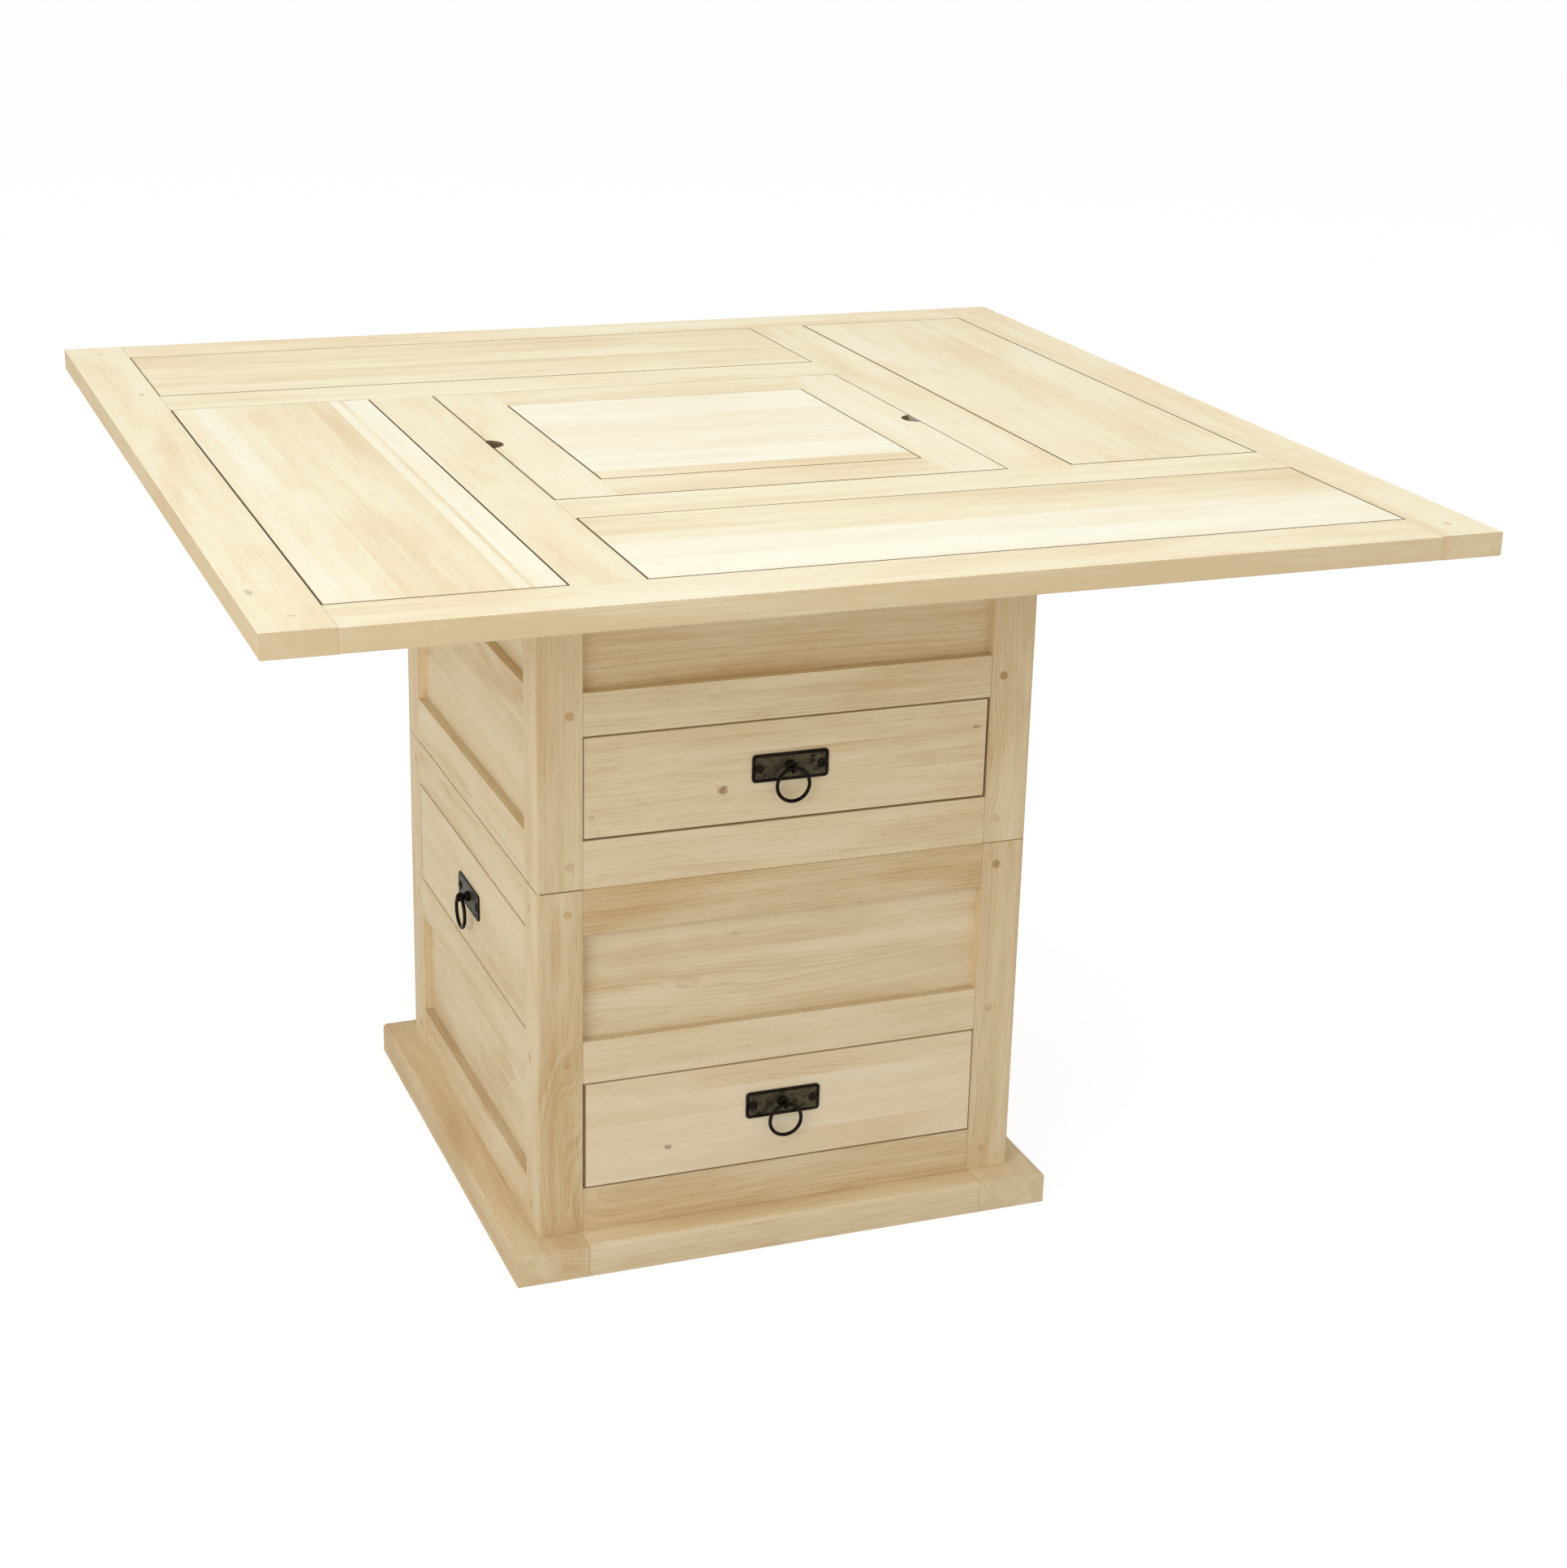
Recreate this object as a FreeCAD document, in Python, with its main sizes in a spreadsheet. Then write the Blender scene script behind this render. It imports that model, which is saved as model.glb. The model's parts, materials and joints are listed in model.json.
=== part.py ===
import FreeCAD, Part
import os
import Sketcher

# Convertible table: two stacked frame-and-panel cases on a plinth, under a square top with a lift-out lid.
# Millimetres. Origin on the floor under the middle, X to the right, Y to the back, Z up.

SIZES = {
    # The square top and its lift-out lid.
    "top_side": 1100,
    "top_thickness": 22,
    "outer_rail_width": 61,
    "inner_rail_width": 65,
    "lid_margin": 25,
    "lid_gap": 1.5,
    "lid_rail_width": 61,
    "top_groove_depth": 8,
    "top_groove_stop": 12,
    "top_tongue": 8,
    "top_panel_gap": 1.1,
    "top_panel_thickness": 18,
    "top_edge_round": 1.5,
    "notch_radius": 17,
    "notch_offset": 4,
    # The plinth under the lower case.
    "plinth_overhang": 30,
    "plinth_thickness": 33,
    "plinth_rail_width": 72,
    "plinth_round": 5,
    "plinth_floor_thickness": 10,
    # The posts, rails and panels of both cases.
    "case_side": 496,
    "post_side": 44,
    "post_round": 2,
    "rail_thickness": 24,
    "rail_setback": 0.4,
    "panel_thickness": 9,
    "panel_recess": 10,
    "panel_groove": 7,
    "panel_play": 0.5,
    "tenon_length": 18,
    "tenon_shoulder": 9,
    "tenon_play": 0.5,
    "lower_bottom_rail": 46,
    "lower_low_bay": 112,
    "lower_middle_rail": 44,
    "lower_high_bay": 109,
    "lower_top_rail": 47,
    "upper_bottom_rail": 48,
    "upper_low_bay": 102,
    "upper_middle_rail": 42,
    "upper_high_bay": 107,
    "upper_top_rail": 46,
    # The floor of the storage bin under the lid.
    "bin_floor_thickness": 9,
    "bin_floor_drop": 12,
    "bin_floor_play": 0.5,
    # Dowels that locate the upper case on the lower one and the top on the upper case.
    "dowel_radius": 4,
    "dowel_inset": 9,
    "dowel_seat": 18,
    "dowel_rise": 12,
    "dowel_glue_gap": 0.05,
    "dowel_play": 0.4,
    "dowel_end_play": 1.5,
    # Drawers and the runners they slide on.
    "runner_width": 38,
    "runner_thickness": 16,
    "guide_height": 14,
    "drawer_gap": 1.6,
    "drawer_foot": 0.3,
    "drawer_depth": 400,
    "drawer_front_thickness": 20,
    "drawer_wall": 12,
    "drawer_wall_drop": 10,
    "drawer_lap": 8,
    "drawer_bottom_thickness": 6,
    "drawer_bottom_rise": 8,
    "drawer_bottom_groove": 6,
    "drawer_bottom_play": 0.5,
    "upper_drawer_shift": -0.6,
    "lower_drawer_shift": 0.6,
    "left_drawer_shift": 0,
    # Ring pulls.
    "plate_width": 77,
    "plate_height": 28,
    "plate_thickness": 2,
    "plate_corner": 4,
    "plate_bevel": 1,
    "eye_reach": 10,
    "eye_wire": 2.4,
    "eye_play": 0.4,
    "shank_radius": 1.8,
    "shank_play": 0.2,
    "nut_radius": 4.5,
    "nut_thickness": 3,
    "ring_radius": 16.2,
    "ring_wire": 3.6,
    "upper_pull_rise": 3,
    "lower_pull_rise": 8,
    "left_pull_rise": 4,
}

SIDES = ("front", "right", "back", "left")
QUARTER_TURN = 90
CENTRE = "0"
AXES = "XYZ"
RAILS = ("bottom_rail", "middle_rail", "top_rail")
BAYS = ("low_bay", "high_bay")
RAIL_HEIGHTS = ("bottom_rail", "low_bay", "middle_rail", "high_bay", "top_rail")

# The bays under and over each rail.
BAYS_BESIDE = {
    "bottom_rail": (None, "low_bay"),
    "middle_rail": ("low_bay", "high_bay"),
    "top_rail": ("high_bay", None),
}

# Half the width of a sketch as first drawn, before its constraints set its size.
ROUGH = 9

doc = FreeCAD.newDocument("convertible_table")
sheet = doc.addObject("Spreadsheet::Sheet", "sizes")
for row, (alias, value) in enumerate(SIZES.items(), start=1):
    sheet.set(f"A{row}", alias)
    sheet.set(f"B{row}", str(value))
    sheet.setAlias(f"B{row}", alias)
doc.recompute()

# Lengths worked out from the sheet, as expressions.
CASE_HALF = "sizes.case_side / 2"
FACE = f"({CASE_HALF} - sizes.rail_setback)"
OPENING = "(sizes.case_side - 2 * sizes.post_side)"
RAIL_INNER = f"({FACE} - sizes.rail_thickness)"
PANEL_PLANE = f"({CASE_HALF} - sizes.panel_recess - sizes.panel_thickness / 2)"
DOWEL_PLACE = f"({CASE_HALF} - sizes.dowel_inset)"
LID_EDGE = f"({CASE_HALF} - sizes.lid_margin)"
LID_SIDE = f"(2 * ({LID_EDGE} - sizes.lid_gap))"
INNER_EDGE = f"({LID_EDGE} + sizes.inner_rail_width)"
OUTER_EDGE = "(sizes.top_side / 2 - sizes.outer_rail_width)"
PLINTH_SIDE = "(sizes.case_side + 2 * sizes.plinth_overhang)"

# Each plane: its origin feature, the axes along its width, height and normal, and the sign of the normal.
PLANES = {
    "XY": ("XY_Plane", "XYZ", ""),
    "XZ": ("XZ_Plane", "XZY", "-"),
    "YZ": ("YZ_Plane", "YZX", ""),
}
DRAWN_AT = {"X": "YZ", "Y": "XZ", "Z": "XY"}

nodes = []


def levels_of(case, base):
    """The lower and upper height of each rail and bay of a case, as expressions."""
    levels = {}
    low = base
    for name in RAIL_HEIGHTS:
        high = f"({low} + sizes.{case}_{name})"
        levels[name] = (low, high)
        low = high
    return levels


def foot_of(levels):
    """The height of a case's underside."""
    low, high = levels["bottom_rail"]
    return low


def head_of(levels):
    """The height of a case's upper face."""
    low, high = levels["top_rail"]
    return high


LOWER = levels_of("lower", "sizes.plinth_thickness")
UPPER = levels_of("upper", head_of(LOWER))
TOP_BASE = head_of(UPPER)
TOP_MIDDLE = f"({TOP_BASE} + sizes.top_thickness / 2)"


def keep(piece):
    """Marks a piece as a sub-part with a file of its own."""
    nodes.append(piece)
    return piece


def keep_group(label, pieces):
    """Joins separate solids in one sub-part."""
    group = doc.addObject("Part::Compound", label)
    group.Links = pieces
    return keep(group)


def new_body(label, turns=0):
    """A body that is drawn on the front or left side and turned about the upright axis."""
    body = doc.addObject("PartDesign::Body", label)
    turn = FreeCAD.Rotation(FreeCAD.Vector(0, 0, 1), QUARTER_TURN * turns)
    body.Placement = FreeCAD.Placement(FreeCAD.Vector(0, 0, 0), turn)
    return body


def in_plane(values, plane):
    """An X, Y, Z triple in the order of a plane's width, height and normal."""
    role, axes, sign = PLANES[plane]
    return [values[AXES.index(axis)] for axis in axes]


def new_sketch(body, name, plane, centre):
    """A sketch on one of the body's origin planes, with its origin moved to a centre."""
    role, axes, sign = PLANES[plane]
    across, up, out = in_plane(centre, plane)
    sketch = body.newObject("Sketcher::SketchObject", name + "_sketch")
    support = [feature for feature in body.Origin.OriginFeatures if feature.Role == role]
    sketch.AttachmentSupport = [(support[0], "")]
    sketch.MapMode = "FlatFace"
    sketch.setExpression("AttachmentOffset.Base.x", across)
    sketch.setExpression("AttachmentOffset.Base.y", up)
    sketch.setExpression("AttachmentOffset.Base.z", f"{sign}({out})")
    return sketch


def draw_rectangle(sketch, width, height):
    """A rectangle about the sketch's origin."""
    signs = ((-1, -1), (1, -1), (1, 1), (-1, 1))
    corners = [FreeCAD.Vector(x * ROUGH, y * ROUGH, 0) for x, y in signs]
    for index in range(4):
        sketch.addGeometry(Part.LineSegment(corners[index], corners[(index + 1) % 4]))
    for index in range(4):
        sketch.addConstraint(Sketcher.Constraint("Coincident", index, 2, (index + 1) % 4, 1))
    for index in (0, 2):
        sketch.addConstraint(Sketcher.Constraint("Horizontal", index))
    for index in (1, 3):
        sketch.addConstraint(Sketcher.Constraint("Vertical", index))
    sketch.addConstraint(Sketcher.Constraint("Symmetric", 0, 1, 1, 2, -1, 1))
    for kind, line, text in (("DistanceX", 0, width), ("DistanceY", 1, height)):
        number = sketch.addConstraint(Sketcher.Constraint(kind, line, 1, line, 2, 2 * ROUGH))
        sketch.renameConstraint(number, kind.lower())
        sketch.setExpression("Constraints." + kind.lower(), text)


def draw_circle(sketch, radius):
    """A circle about the sketch's origin."""
    sketch.addGeometry(Part.Circle(FreeCAD.Vector(0, 0, 0), FreeCAD.Vector(0, 0, 1), ROUGH))
    sketch.addConstraint(Sketcher.Constraint("Coincident", 0, 3, -1, 1))
    number = sketch.addConstraint(Sketcher.Constraint("Radius", 0, ROUGH))
    sketch.renameConstraint(number, "radius")
    sketch.setExpression("Constraints.radius", radius)


def extrude(body, name, sketch, length, kind):
    """Pads or pockets a sketch evenly to both sides of its plane."""
    feature = body.newObject("PartDesign::" + kind, name)
    feature.Profile = sketch
    feature.SideType = "Symmetric"
    feature.setExpression("Length", length)
    body.Tip = feature
    return feature


def block(body, name, size, centre, kind="Pad", along="Z"):
    """A rectangular pad or pocket of given X, Y and Z sizes, extruded along one axis."""
    plane = DRAWN_AT[along]
    width, height, length = in_plane(size, plane)
    sketch = new_sketch(body, name, plane, centre)
    draw_rectangle(sketch, width, height)
    return extrude(body, name, sketch, length, kind)


def slot(body, name, size, centre, along="Z"):
    """A rectangular pocket."""
    return block(body, name, size, centre, "Pocket", along)


def drum(body, name, radius, length, centre, along="Z", kind="Pad"):
    """A round pad or pocket along one axis."""
    sketch = new_sketch(body, name, DRAWN_AT[along], centre)
    draw_circle(sketch, radius)
    return extrude(body, name, sketch, length, kind)


def edges_where(feature, test):
    """The names of a feature's edges whose middle point and direction pass a test."""
    names = []
    for number, edge in enumerate(feature.Shape.Edges, start=1):
        middle = edge.CenterOfMass
        ends = edge.Vertexes
        run = ends[-1].Point - ends[0].Point
        if test(middle, run, feature.Shape.BoundBox):
            names.append(f"Edge{number}")
    return names


def dress(body, kind, name, size_name, size, test):
    """Rounds or bevels the edges of the body's last feature that pass a test."""
    doc.recompute()
    base = body.Tip
    feature = body.newObject("PartDesign::" + kind, name)
    feature.Base = (base, edges_where(base, test))
    feature.setExpression(size_name, size)
    body.Tip = feature
    return feature


def near(first, second):
    """True for two coordinates on one plane."""
    return abs(first - second) < 0.01


def half_sum(first, second):
    """The middle between two coordinates, as an expression."""
    return f"(({first}) + ({second})) / 2"


# Square frames: two full side rails and two cross rails, with a board in their grooves.
def outer_left_edges(middle, run, box):
    """The arrises of a side rail's outer face."""
    upper_or_lower = near(middle.z, box.ZMin) or near(middle.z, box.ZMax)
    return near(middle.x, box.XMin) and (upper_or_lower or near(run.z, box.ZLength))


def outer_left_top_edge(middle, run, box):
    """The upper arris of a side rail's outer face."""
    return near(middle.x, box.XMin) and near(middle.z, box.ZMax)


def outer_front_edges(middle, run, box):
    """The arrises of a cross rail's outer face."""
    return near(middle.y, box.YMin) and (near(middle.z, box.ZMin) or near(middle.z, box.ZMax))


def outer_front_top_edge(middle, run, box):
    """The upper arris of a cross rail's outer face."""
    return near(middle.y, box.YMin) and near(middle.z, box.ZMax)


def frame_side_rail(label, turns, side, width, height, middle, tongue, rounding, edges):
    """A rail that runs the frame's full length, grooved on its inner edge."""
    body = new_body(label, turns)
    x_middle = f"-({side} - {width}) / 2"
    block(body, label + "_board", (width, side, height), (x_middle, CENTRE, middle), along="Y")
    if rounding is not None:
        dress(body, "Fillet", label + "_round", "Radius", rounding, edges)
    groove_x = f"-({side} / 2 - {width} + sizes.top_groove_depth / 2)"
    groove_size = ("sizes.top_groove_depth", f"{side} - 2 * sizes.top_groove_stop", tongue)
    slot(body, label + "_groove", groove_size, (groove_x, CENTRE, middle))
    return body


def frame_cross_rail(label, turns, side, width, height, middle, tongue, rounding, edges):
    """A rail between the side rails, grooved on its inner edge, with stub tenons in their grooves."""
    body = new_body(label, turns)
    y_middle = f"-({side} - {width}) / 2"
    shoulders = f"({side} - 2 * {width})"
    block(body, label + "_board", (shoulders, width, height), (CENTRE, y_middle, middle), along="X")
    if rounding is not None:
        dress(body, "Fillet", label + "_round", "Radius", rounding, edges)
    groove_y = f"-({side} / 2 - {width} + sizes.top_groove_depth / 2)"
    groove_size = (shoulders, "sizes.top_groove_depth", tongue)
    slot(body, label + "_groove", groove_size, (CENTRE, groove_y, middle), "X")
    tenons = f"{shoulders} + 2 * (sizes.top_groove_depth - sizes.tenon_play)"
    tenon_width = f"{width} - sizes.top_groove_stop - sizes.top_groove_depth"
    tenon_outer = f"-({side} / 2 - sizes.top_groove_stop)"
    tenon_inner = f"-({side} / 2 - {width} + sizes.top_groove_depth)"
    tenon_place = (CENTRE, half_sum(tenon_outer, tenon_inner), middle)
    block(body, label + "_tenons", (tenons, tenon_width, tongue), tenon_place, along="X")
    return body


def grooved_board(label, turns, opening, centre, tongue, field=None, field_middle=None):
    """A board whose tongue sits in the grooves round an opening, with a field filling the opening."""
    body = new_body(label, turns)
    reach = "2 * (sizes.top_groove_depth - sizes.panel_play)"
    tongue_size = (f"{opening[0]} + {reach}", f"{opening[1]} + {reach}", tongue)
    block(body, label + "_tongue", tongue_size, centre)
    if field is not None:
        field_size = tuple(f"{length} - 2 * sizes.top_panel_gap" for length in opening) + (field,)
        block(body, label + "_field", field_size, (centre[0], centre[1], field_middle))
    return body


# The plinth: a low frame with rounded upper edges and a floor board.
plinth_middle = "sizes.plinth_thickness / 2"
plinth_frame = (PLINTH_SIDE, "sizes.plinth_rail_width", "sizes.plinth_thickness", plinth_middle)
plinth_round = ("sizes.plinth_floor_thickness", "sizes.plinth_round")
plinth_rails = []
for turns, name in ((0, "left"), (2, "right")):
    label = f"plinth_{name}_rail"
    plinth_rails.append(frame_side_rail(label, turns, *plinth_frame, *plinth_round, outer_left_top_edge))
for turns, name in ((0, "front"), (2, "back")):
    label = f"plinth_{name}_rail"
    plinth_rails.append(frame_cross_rail(label, turns, *plinth_frame, *plinth_round, outer_front_top_edge))
keep_group("plinth_rails", plinth_rails)
plinth_opening = f"({PLINTH_SIDE} - 2 * sizes.plinth_rail_width)"
plinth_centre = (CENTRE, CENTRE, plinth_middle)
floor_size = (plinth_opening, plinth_opening)
keep(grooved_board("plinth_floor", 0, floor_size, plinth_centre, "sizes.plinth_floor_thickness"))


# The two cases.
def case_rail(label, turns, low, high, groove_low, groove_high, floor_groove=None):
    """A rail between two posts, with a tenon at each end and grooves for the panels beside it."""
    body = new_body(label, turns)
    middle = half_sum(low, high)
    rail_y = f"-({FACE} - sizes.rail_thickness / 2)"
    height = f"({high}) - ({low})"
    board_size = (OPENING, "sizes.rail_thickness", height)
    block(body, label + "_board", board_size, (CENTRE, rail_y, middle), along="X")
    tenons = f"{OPENING} + 2 * sizes.tenon_length"
    tenon_height = f"{height} - 2 * sizes.tenon_shoulder"
    tenon_size = (tenons, "sizes.panel_thickness", tenon_height)
    block(body, label + "_tenons", tenon_size, (CENTRE, f"-{PANEL_PLANE}", middle), along="X")
    groove_size = (OPENING, "sizes.panel_thickness", "sizes.panel_groove")
    if groove_low:
        place = (CENTRE, f"-{PANEL_PLANE}", f"{low} + sizes.panel_groove / 2")
        slot(body, label + "_low_groove", groove_size, place, "X")
    if groove_high:
        place = (CENTRE, f"-{PANEL_PLANE}", f"{high} - sizes.panel_groove / 2")
        slot(body, label + "_high_groove", groove_size, place, "X")
    if floor_groove is not None:
        floor_size = (OPENING, "sizes.panel_groove", "sizes.bin_floor_thickness")
        place = (CENTRE, f"-({RAIL_INNER} + sizes.panel_groove / 2)", floor_groove)
        slot(body, label + "_floor_groove", floor_size, place, "X")
    return body


def case_panel(label, turns, low, high):
    """A plain panel set back in the grooves round one bay."""
    body = new_body(label, turns)
    reach = "2 * (sizes.panel_groove - sizes.panel_play)"
    size = (f"{OPENING} + {reach}", "sizes.panel_thickness", f"({high}) - ({low}) + {reach}")
    block(body, label + "_board", size, (CENTRE, f"-{PANEL_PLANE}", half_sum(low, high)), along="Y")
    return body


def outer_corner(middle, run, box):
    """The upright outer arris of a corner post."""
    return near(middle.x, box.XMin) and near(middle.y, box.YMin)


def case_post(label, turns, levels, panel_bays, foot_holes):
    """A corner post with mortises and grooves on the two faces that meet rails and panels."""
    body = new_body(label, turns)
    post_middle = f"-({CASE_HALF} - sizes.post_side / 2)"
    foot = foot_of(levels)
    head = head_of(levels)
    post_size = ("sizes.post_side", "sizes.post_side", f"({head}) - ({foot})")
    block(body, label + "_board", post_size, (post_middle, post_middle, half_sum(foot, head)))
    dress(body, "Fillet", label + "_round", "Radius", "sizes.post_round", outer_corner)
    inner_face = f"-({CASE_HALF} - sizes.post_side)"
    mortise_depth = "(sizes.tenon_length + sizes.tenon_play)"
    mortise_in = f"{inner_face} - {mortise_depth} / 2"
    groove_in = f"{inner_face} - sizes.panel_groove / 2"
    for face, bays in enumerate(panel_bays):
        for rail in RAILS:
            low, high = levels[rail]
            tall = f"({high}) - ({low}) - 2 * sizes.tenon_shoulder"
            size = (mortise_depth, "sizes.panel_thickness", tall)
            place = (mortise_in, f"-{PANEL_PLANE}", half_sum(low, high))
            cut_on_face(body, f"{label}_mortise_{face}_{rail}", face, size, place)
        for bay in bays:
            low, high = levels[bay]
            tall = f"({high}) - ({low}) + 2 * sizes.panel_groove"
            size = ("sizes.panel_groove", "sizes.panel_thickness", tall)
            place = (groove_in, f"-{PANEL_PLANE}", half_sum(low, high))
            cut_on_face(body, f"{label}_groove_{face}_{bay}", face, size, place)
    dowel_x = f"-{DOWEL_PLACE}"
    seat_place = (dowel_x, dowel_x, f"{head} - sizes.dowel_seat / 2")
    seat_radius = "sizes.dowel_radius + sizes.dowel_glue_gap"
    drum(body, label + "_dowel_seat", seat_radius, "sizes.dowel_seat", seat_place, kind="Pocket")
    if foot_holes:
        dowel_hole(body, label + "_foot_hole", foot)
    return body


def cut_on_face(body, name, face, size, place):
    """Cuts a slot in the first face that meets rails, or its twin in the second."""
    if face == 0:
        slot(body, name, size, place)
        return
    slot(body, name, (size[1], size[0], size[2]), (place[1], place[0], place[2]))


def dowel_hole(body, name, base):
    """A blind hole from below that a locating dowel enters freely."""
    depth = "(sizes.dowel_rise + sizes.dowel_end_play)"
    place = (f"-{DOWEL_PLACE}", f"-{DOWEL_PLACE}", f"{base} + {depth} / 2")
    drum(body, name, "sizes.dowel_radius + sizes.dowel_play", depth, place, kind="Pocket")


def locating_dowels(label, base):
    """Four round dowels standing in the post tops."""
    pieces = []
    for number, (x_sign, y_sign) in enumerate((("-", "-"), ("", "-"), ("", ""), ("-", ""))):
        dowel = doc.addObject("Part::Cylinder", f"{label}_{number}")
        dowel.setExpression("Radius", "sizes.dowel_radius")
        dowel.setExpression("Height", "sizes.dowel_seat + sizes.dowel_rise")
        dowel.setExpression("Placement.Base.x", f"{x_sign}{DOWEL_PLACE}")
        dowel.setExpression("Placement.Base.y", f"{y_sign}{DOWEL_PLACE}")
        dowel.setExpression("Placement.Base.z", f"{base} - sizes.dowel_seat")
        pieces.append(dowel)
    return keep_group(label, pieces)


def drawer_runner(label, turns, bay_low):
    """An L-shaped runner fixed to a side rail, between two posts."""
    body = new_body(label, turns)
    ledge_x = f"-({RAIL_INNER} - sizes.runner_width / 2)"
    ledge_z = f"{bay_low} - sizes.runner_thickness / 2"
    ledge = ("sizes.runner_width", OPENING, "sizes.runner_thickness")
    block(body, label + "_ledge", ledge, (ledge_x, CENTRE, ledge_z), along="Y")
    guide_width = f"({RAIL_INNER} - {OPENING} / 2)"
    guide_x = f"-({RAIL_INNER} - {guide_width} / 2)"
    guide_z = f"{bay_low} + sizes.guide_height / 2"
    guide_size = (guide_width, OPENING, "sizes.guide_height")
    block(body, label + "_guide", guide_size, (guide_x, CENTRE, guide_z), along="Y")
    return body


def build_case(case, levels, drawer_bays, foot_holes, floor_groove):
    """All posts, rails and panels of one case; drawer_bays names the bay left open on each side."""
    panel_bays = []
    for side in SIDES:
        panel_bays.append([bay for bay in BAYS if bay != drawer_bays.get(side)])
    posts = []
    for turns in range(4):
        faces = (panel_bays[turns], panel_bays[turns - 1])
        posts.append(case_post(f"{case}_post_{turns}", turns, levels, faces, foot_holes))
    keep_group(f"{case}_posts", posts)
    for turns, side in enumerate(SIDES):
        bays = panel_bays[turns]
        rails = []
        for rail in RAILS:
            label = f"{case}_{side}_{rail}"
            under, over = BAYS_BESIDE[rail]
            floor_line = floor_groove if rail == "middle_rail" else None
            rails.append(case_rail(label, turns, *levels[rail], under in bays, over in bays, floor_line))
        keep_group(f"{case}_{side}_rails", rails)
        if side in drawer_bays:
            (bay,) = bays
            keep(case_panel(f"{case}_{side}_panel", turns, *levels[bay]))
            continue
        panels = []
        for bay in bays:
            panels.append(case_panel(f"{case}_{side}_{bay}_panel", turns, *levels[bay]))
        keep_group(f"{case}_{side}_panels", panels)
    locating_dowels(f"{case}_dowels", head_of(levels))
    runners = []
    for side, bay in drawer_bays.items():
        bay_low, bay_high = levels[bay]
        for turns in range(SIDES.index(side), SIDES.index(side) + 4, 2):
            runners.append(drawer_runner(f"{case}_{side}_runner_{turns}", turns, bay_low))
    keep_group(f"{case}_runners", runners)


middle_low, middle_high = UPPER["middle_rail"]
BIN_FLOOR_MIDDLE = f"({middle_high} - sizes.bin_floor_drop - sizes.bin_floor_thickness / 2)"
build_case("lower", LOWER, {"front": "low_bay", "left": "high_bay"}, False, None)
build_case("upper", UPPER, {"front": "low_bay"}, True, BIN_FLOOR_MIDDLE)

# The floor of the storage bin: a cross shape, clear of the posts, with its edges in the middle rails.
bin_floor = new_body("bin_floor")
floor_long = f"2 * ({RAIL_INNER} + sizes.panel_groove - sizes.panel_play)"
floor_short = f"{OPENING} - 2 * sizes.bin_floor_play"
for name, size_x, size_y in (("across", floor_long, floor_short), ("along", floor_short, floor_long)):
    floor_box = (size_x, size_y, "sizes.bin_floor_thickness")
    block(bin_floor, "bin_floor_" + name, floor_box, (CENTRE, CENTRE, BIN_FLOOR_MIDDLE))
keep(bin_floor)


# The square top: outer rails, four panels and four inner rails in a pinwheel round the lid.
top_frame = ("sizes.top_side", "sizes.outer_rail_width", "sizes.top_thickness", TOP_MIDDLE)
top_round = ("sizes.top_tongue", "sizes.top_edge_round")
for turns, name in ((0, "left"), (2, "right")):
    keep(frame_side_rail(f"top_{name}_rail", turns, *top_frame, *top_round, outer_left_edges))
for turns, name in ((0, "front"), (2, "back")):
    keep(frame_cross_rail(f"top_{name}_rail", turns, *top_frame, *top_round, outer_front_edges))

PINWHEEL = ("left", "front", "right", "back")
FIELD_MIDDLE = f"({TOP_BASE} + sizes.top_thickness - sizes.top_panel_thickness / 2)"
for turns, name in enumerate(PINWHEEL):
    label = f"inner_{name}_rail"
    rail = new_body(label, turns)
    rail_x = f"-({LID_EDGE} + {INNER_EDGE}) / 2"
    rail_y = f"-({OUTER_EDGE} - {LID_EDGE}) / 2"
    rail_length = f"({OUTER_EDGE} + {LID_EDGE})"
    rail_size = ("sizes.inner_rail_width", rail_length, "sizes.top_thickness")
    block(rail, label + "_board", rail_size, (rail_x, rail_y, TOP_MIDDLE), along="Y")
    groove_x = f"-({INNER_EDGE} - sizes.top_groove_depth / 2)"
    groove_size = ("sizes.top_groove_depth", rail_length, "sizes.top_tongue")
    slot(rail, label + "_groove", groove_size, (groove_x, rail_y, TOP_MIDDLE), "Y")
    stop_x = f"-({LID_EDGE} + sizes.top_groove_depth / 2)"
    stop_length = f"({OUTER_EDGE} - {LID_EDGE} - sizes.top_groove_depth)"
    stop_y = f"-({OUTER_EDGE} - {stop_length} / 2)"
    stop_size = ("sizes.top_groove_depth", stop_length, "sizes.top_tongue")
    slot(rail, label + "_stopped_groove", stop_size, (stop_x, stop_y, TOP_MIDDLE), "Y")
    tenon_width = "sizes.inner_rail_width - 2 * sizes.top_groove_depth"
    tenon_length = f"{rail_length} + 2 * (sizes.top_groove_depth - sizes.tenon_play)"
    tenon_size = (tenon_width, tenon_length, "sizes.top_tongue")
    block(rail, label + "_tenons", tenon_size, (rail_x, rail_y, TOP_MIDDLE), along="Y")
    dowel_hole(rail, label + "_dowel_hole", TOP_BASE)
    keep(rail)
    panel_opening = (f"({OUTER_EDGE} - {INNER_EDGE})", rail_length)
    panel_centre = (f"-({OUTER_EDGE} + {INNER_EDGE}) / 2", rail_y, TOP_MIDDLE)
    panel_field = ("sizes.top_tongue", "sizes.top_panel_thickness", FIELD_MIDDLE)
    keep(grooved_board(f"top_{name}_panel", turns, panel_opening, panel_centre, *panel_field))

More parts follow.
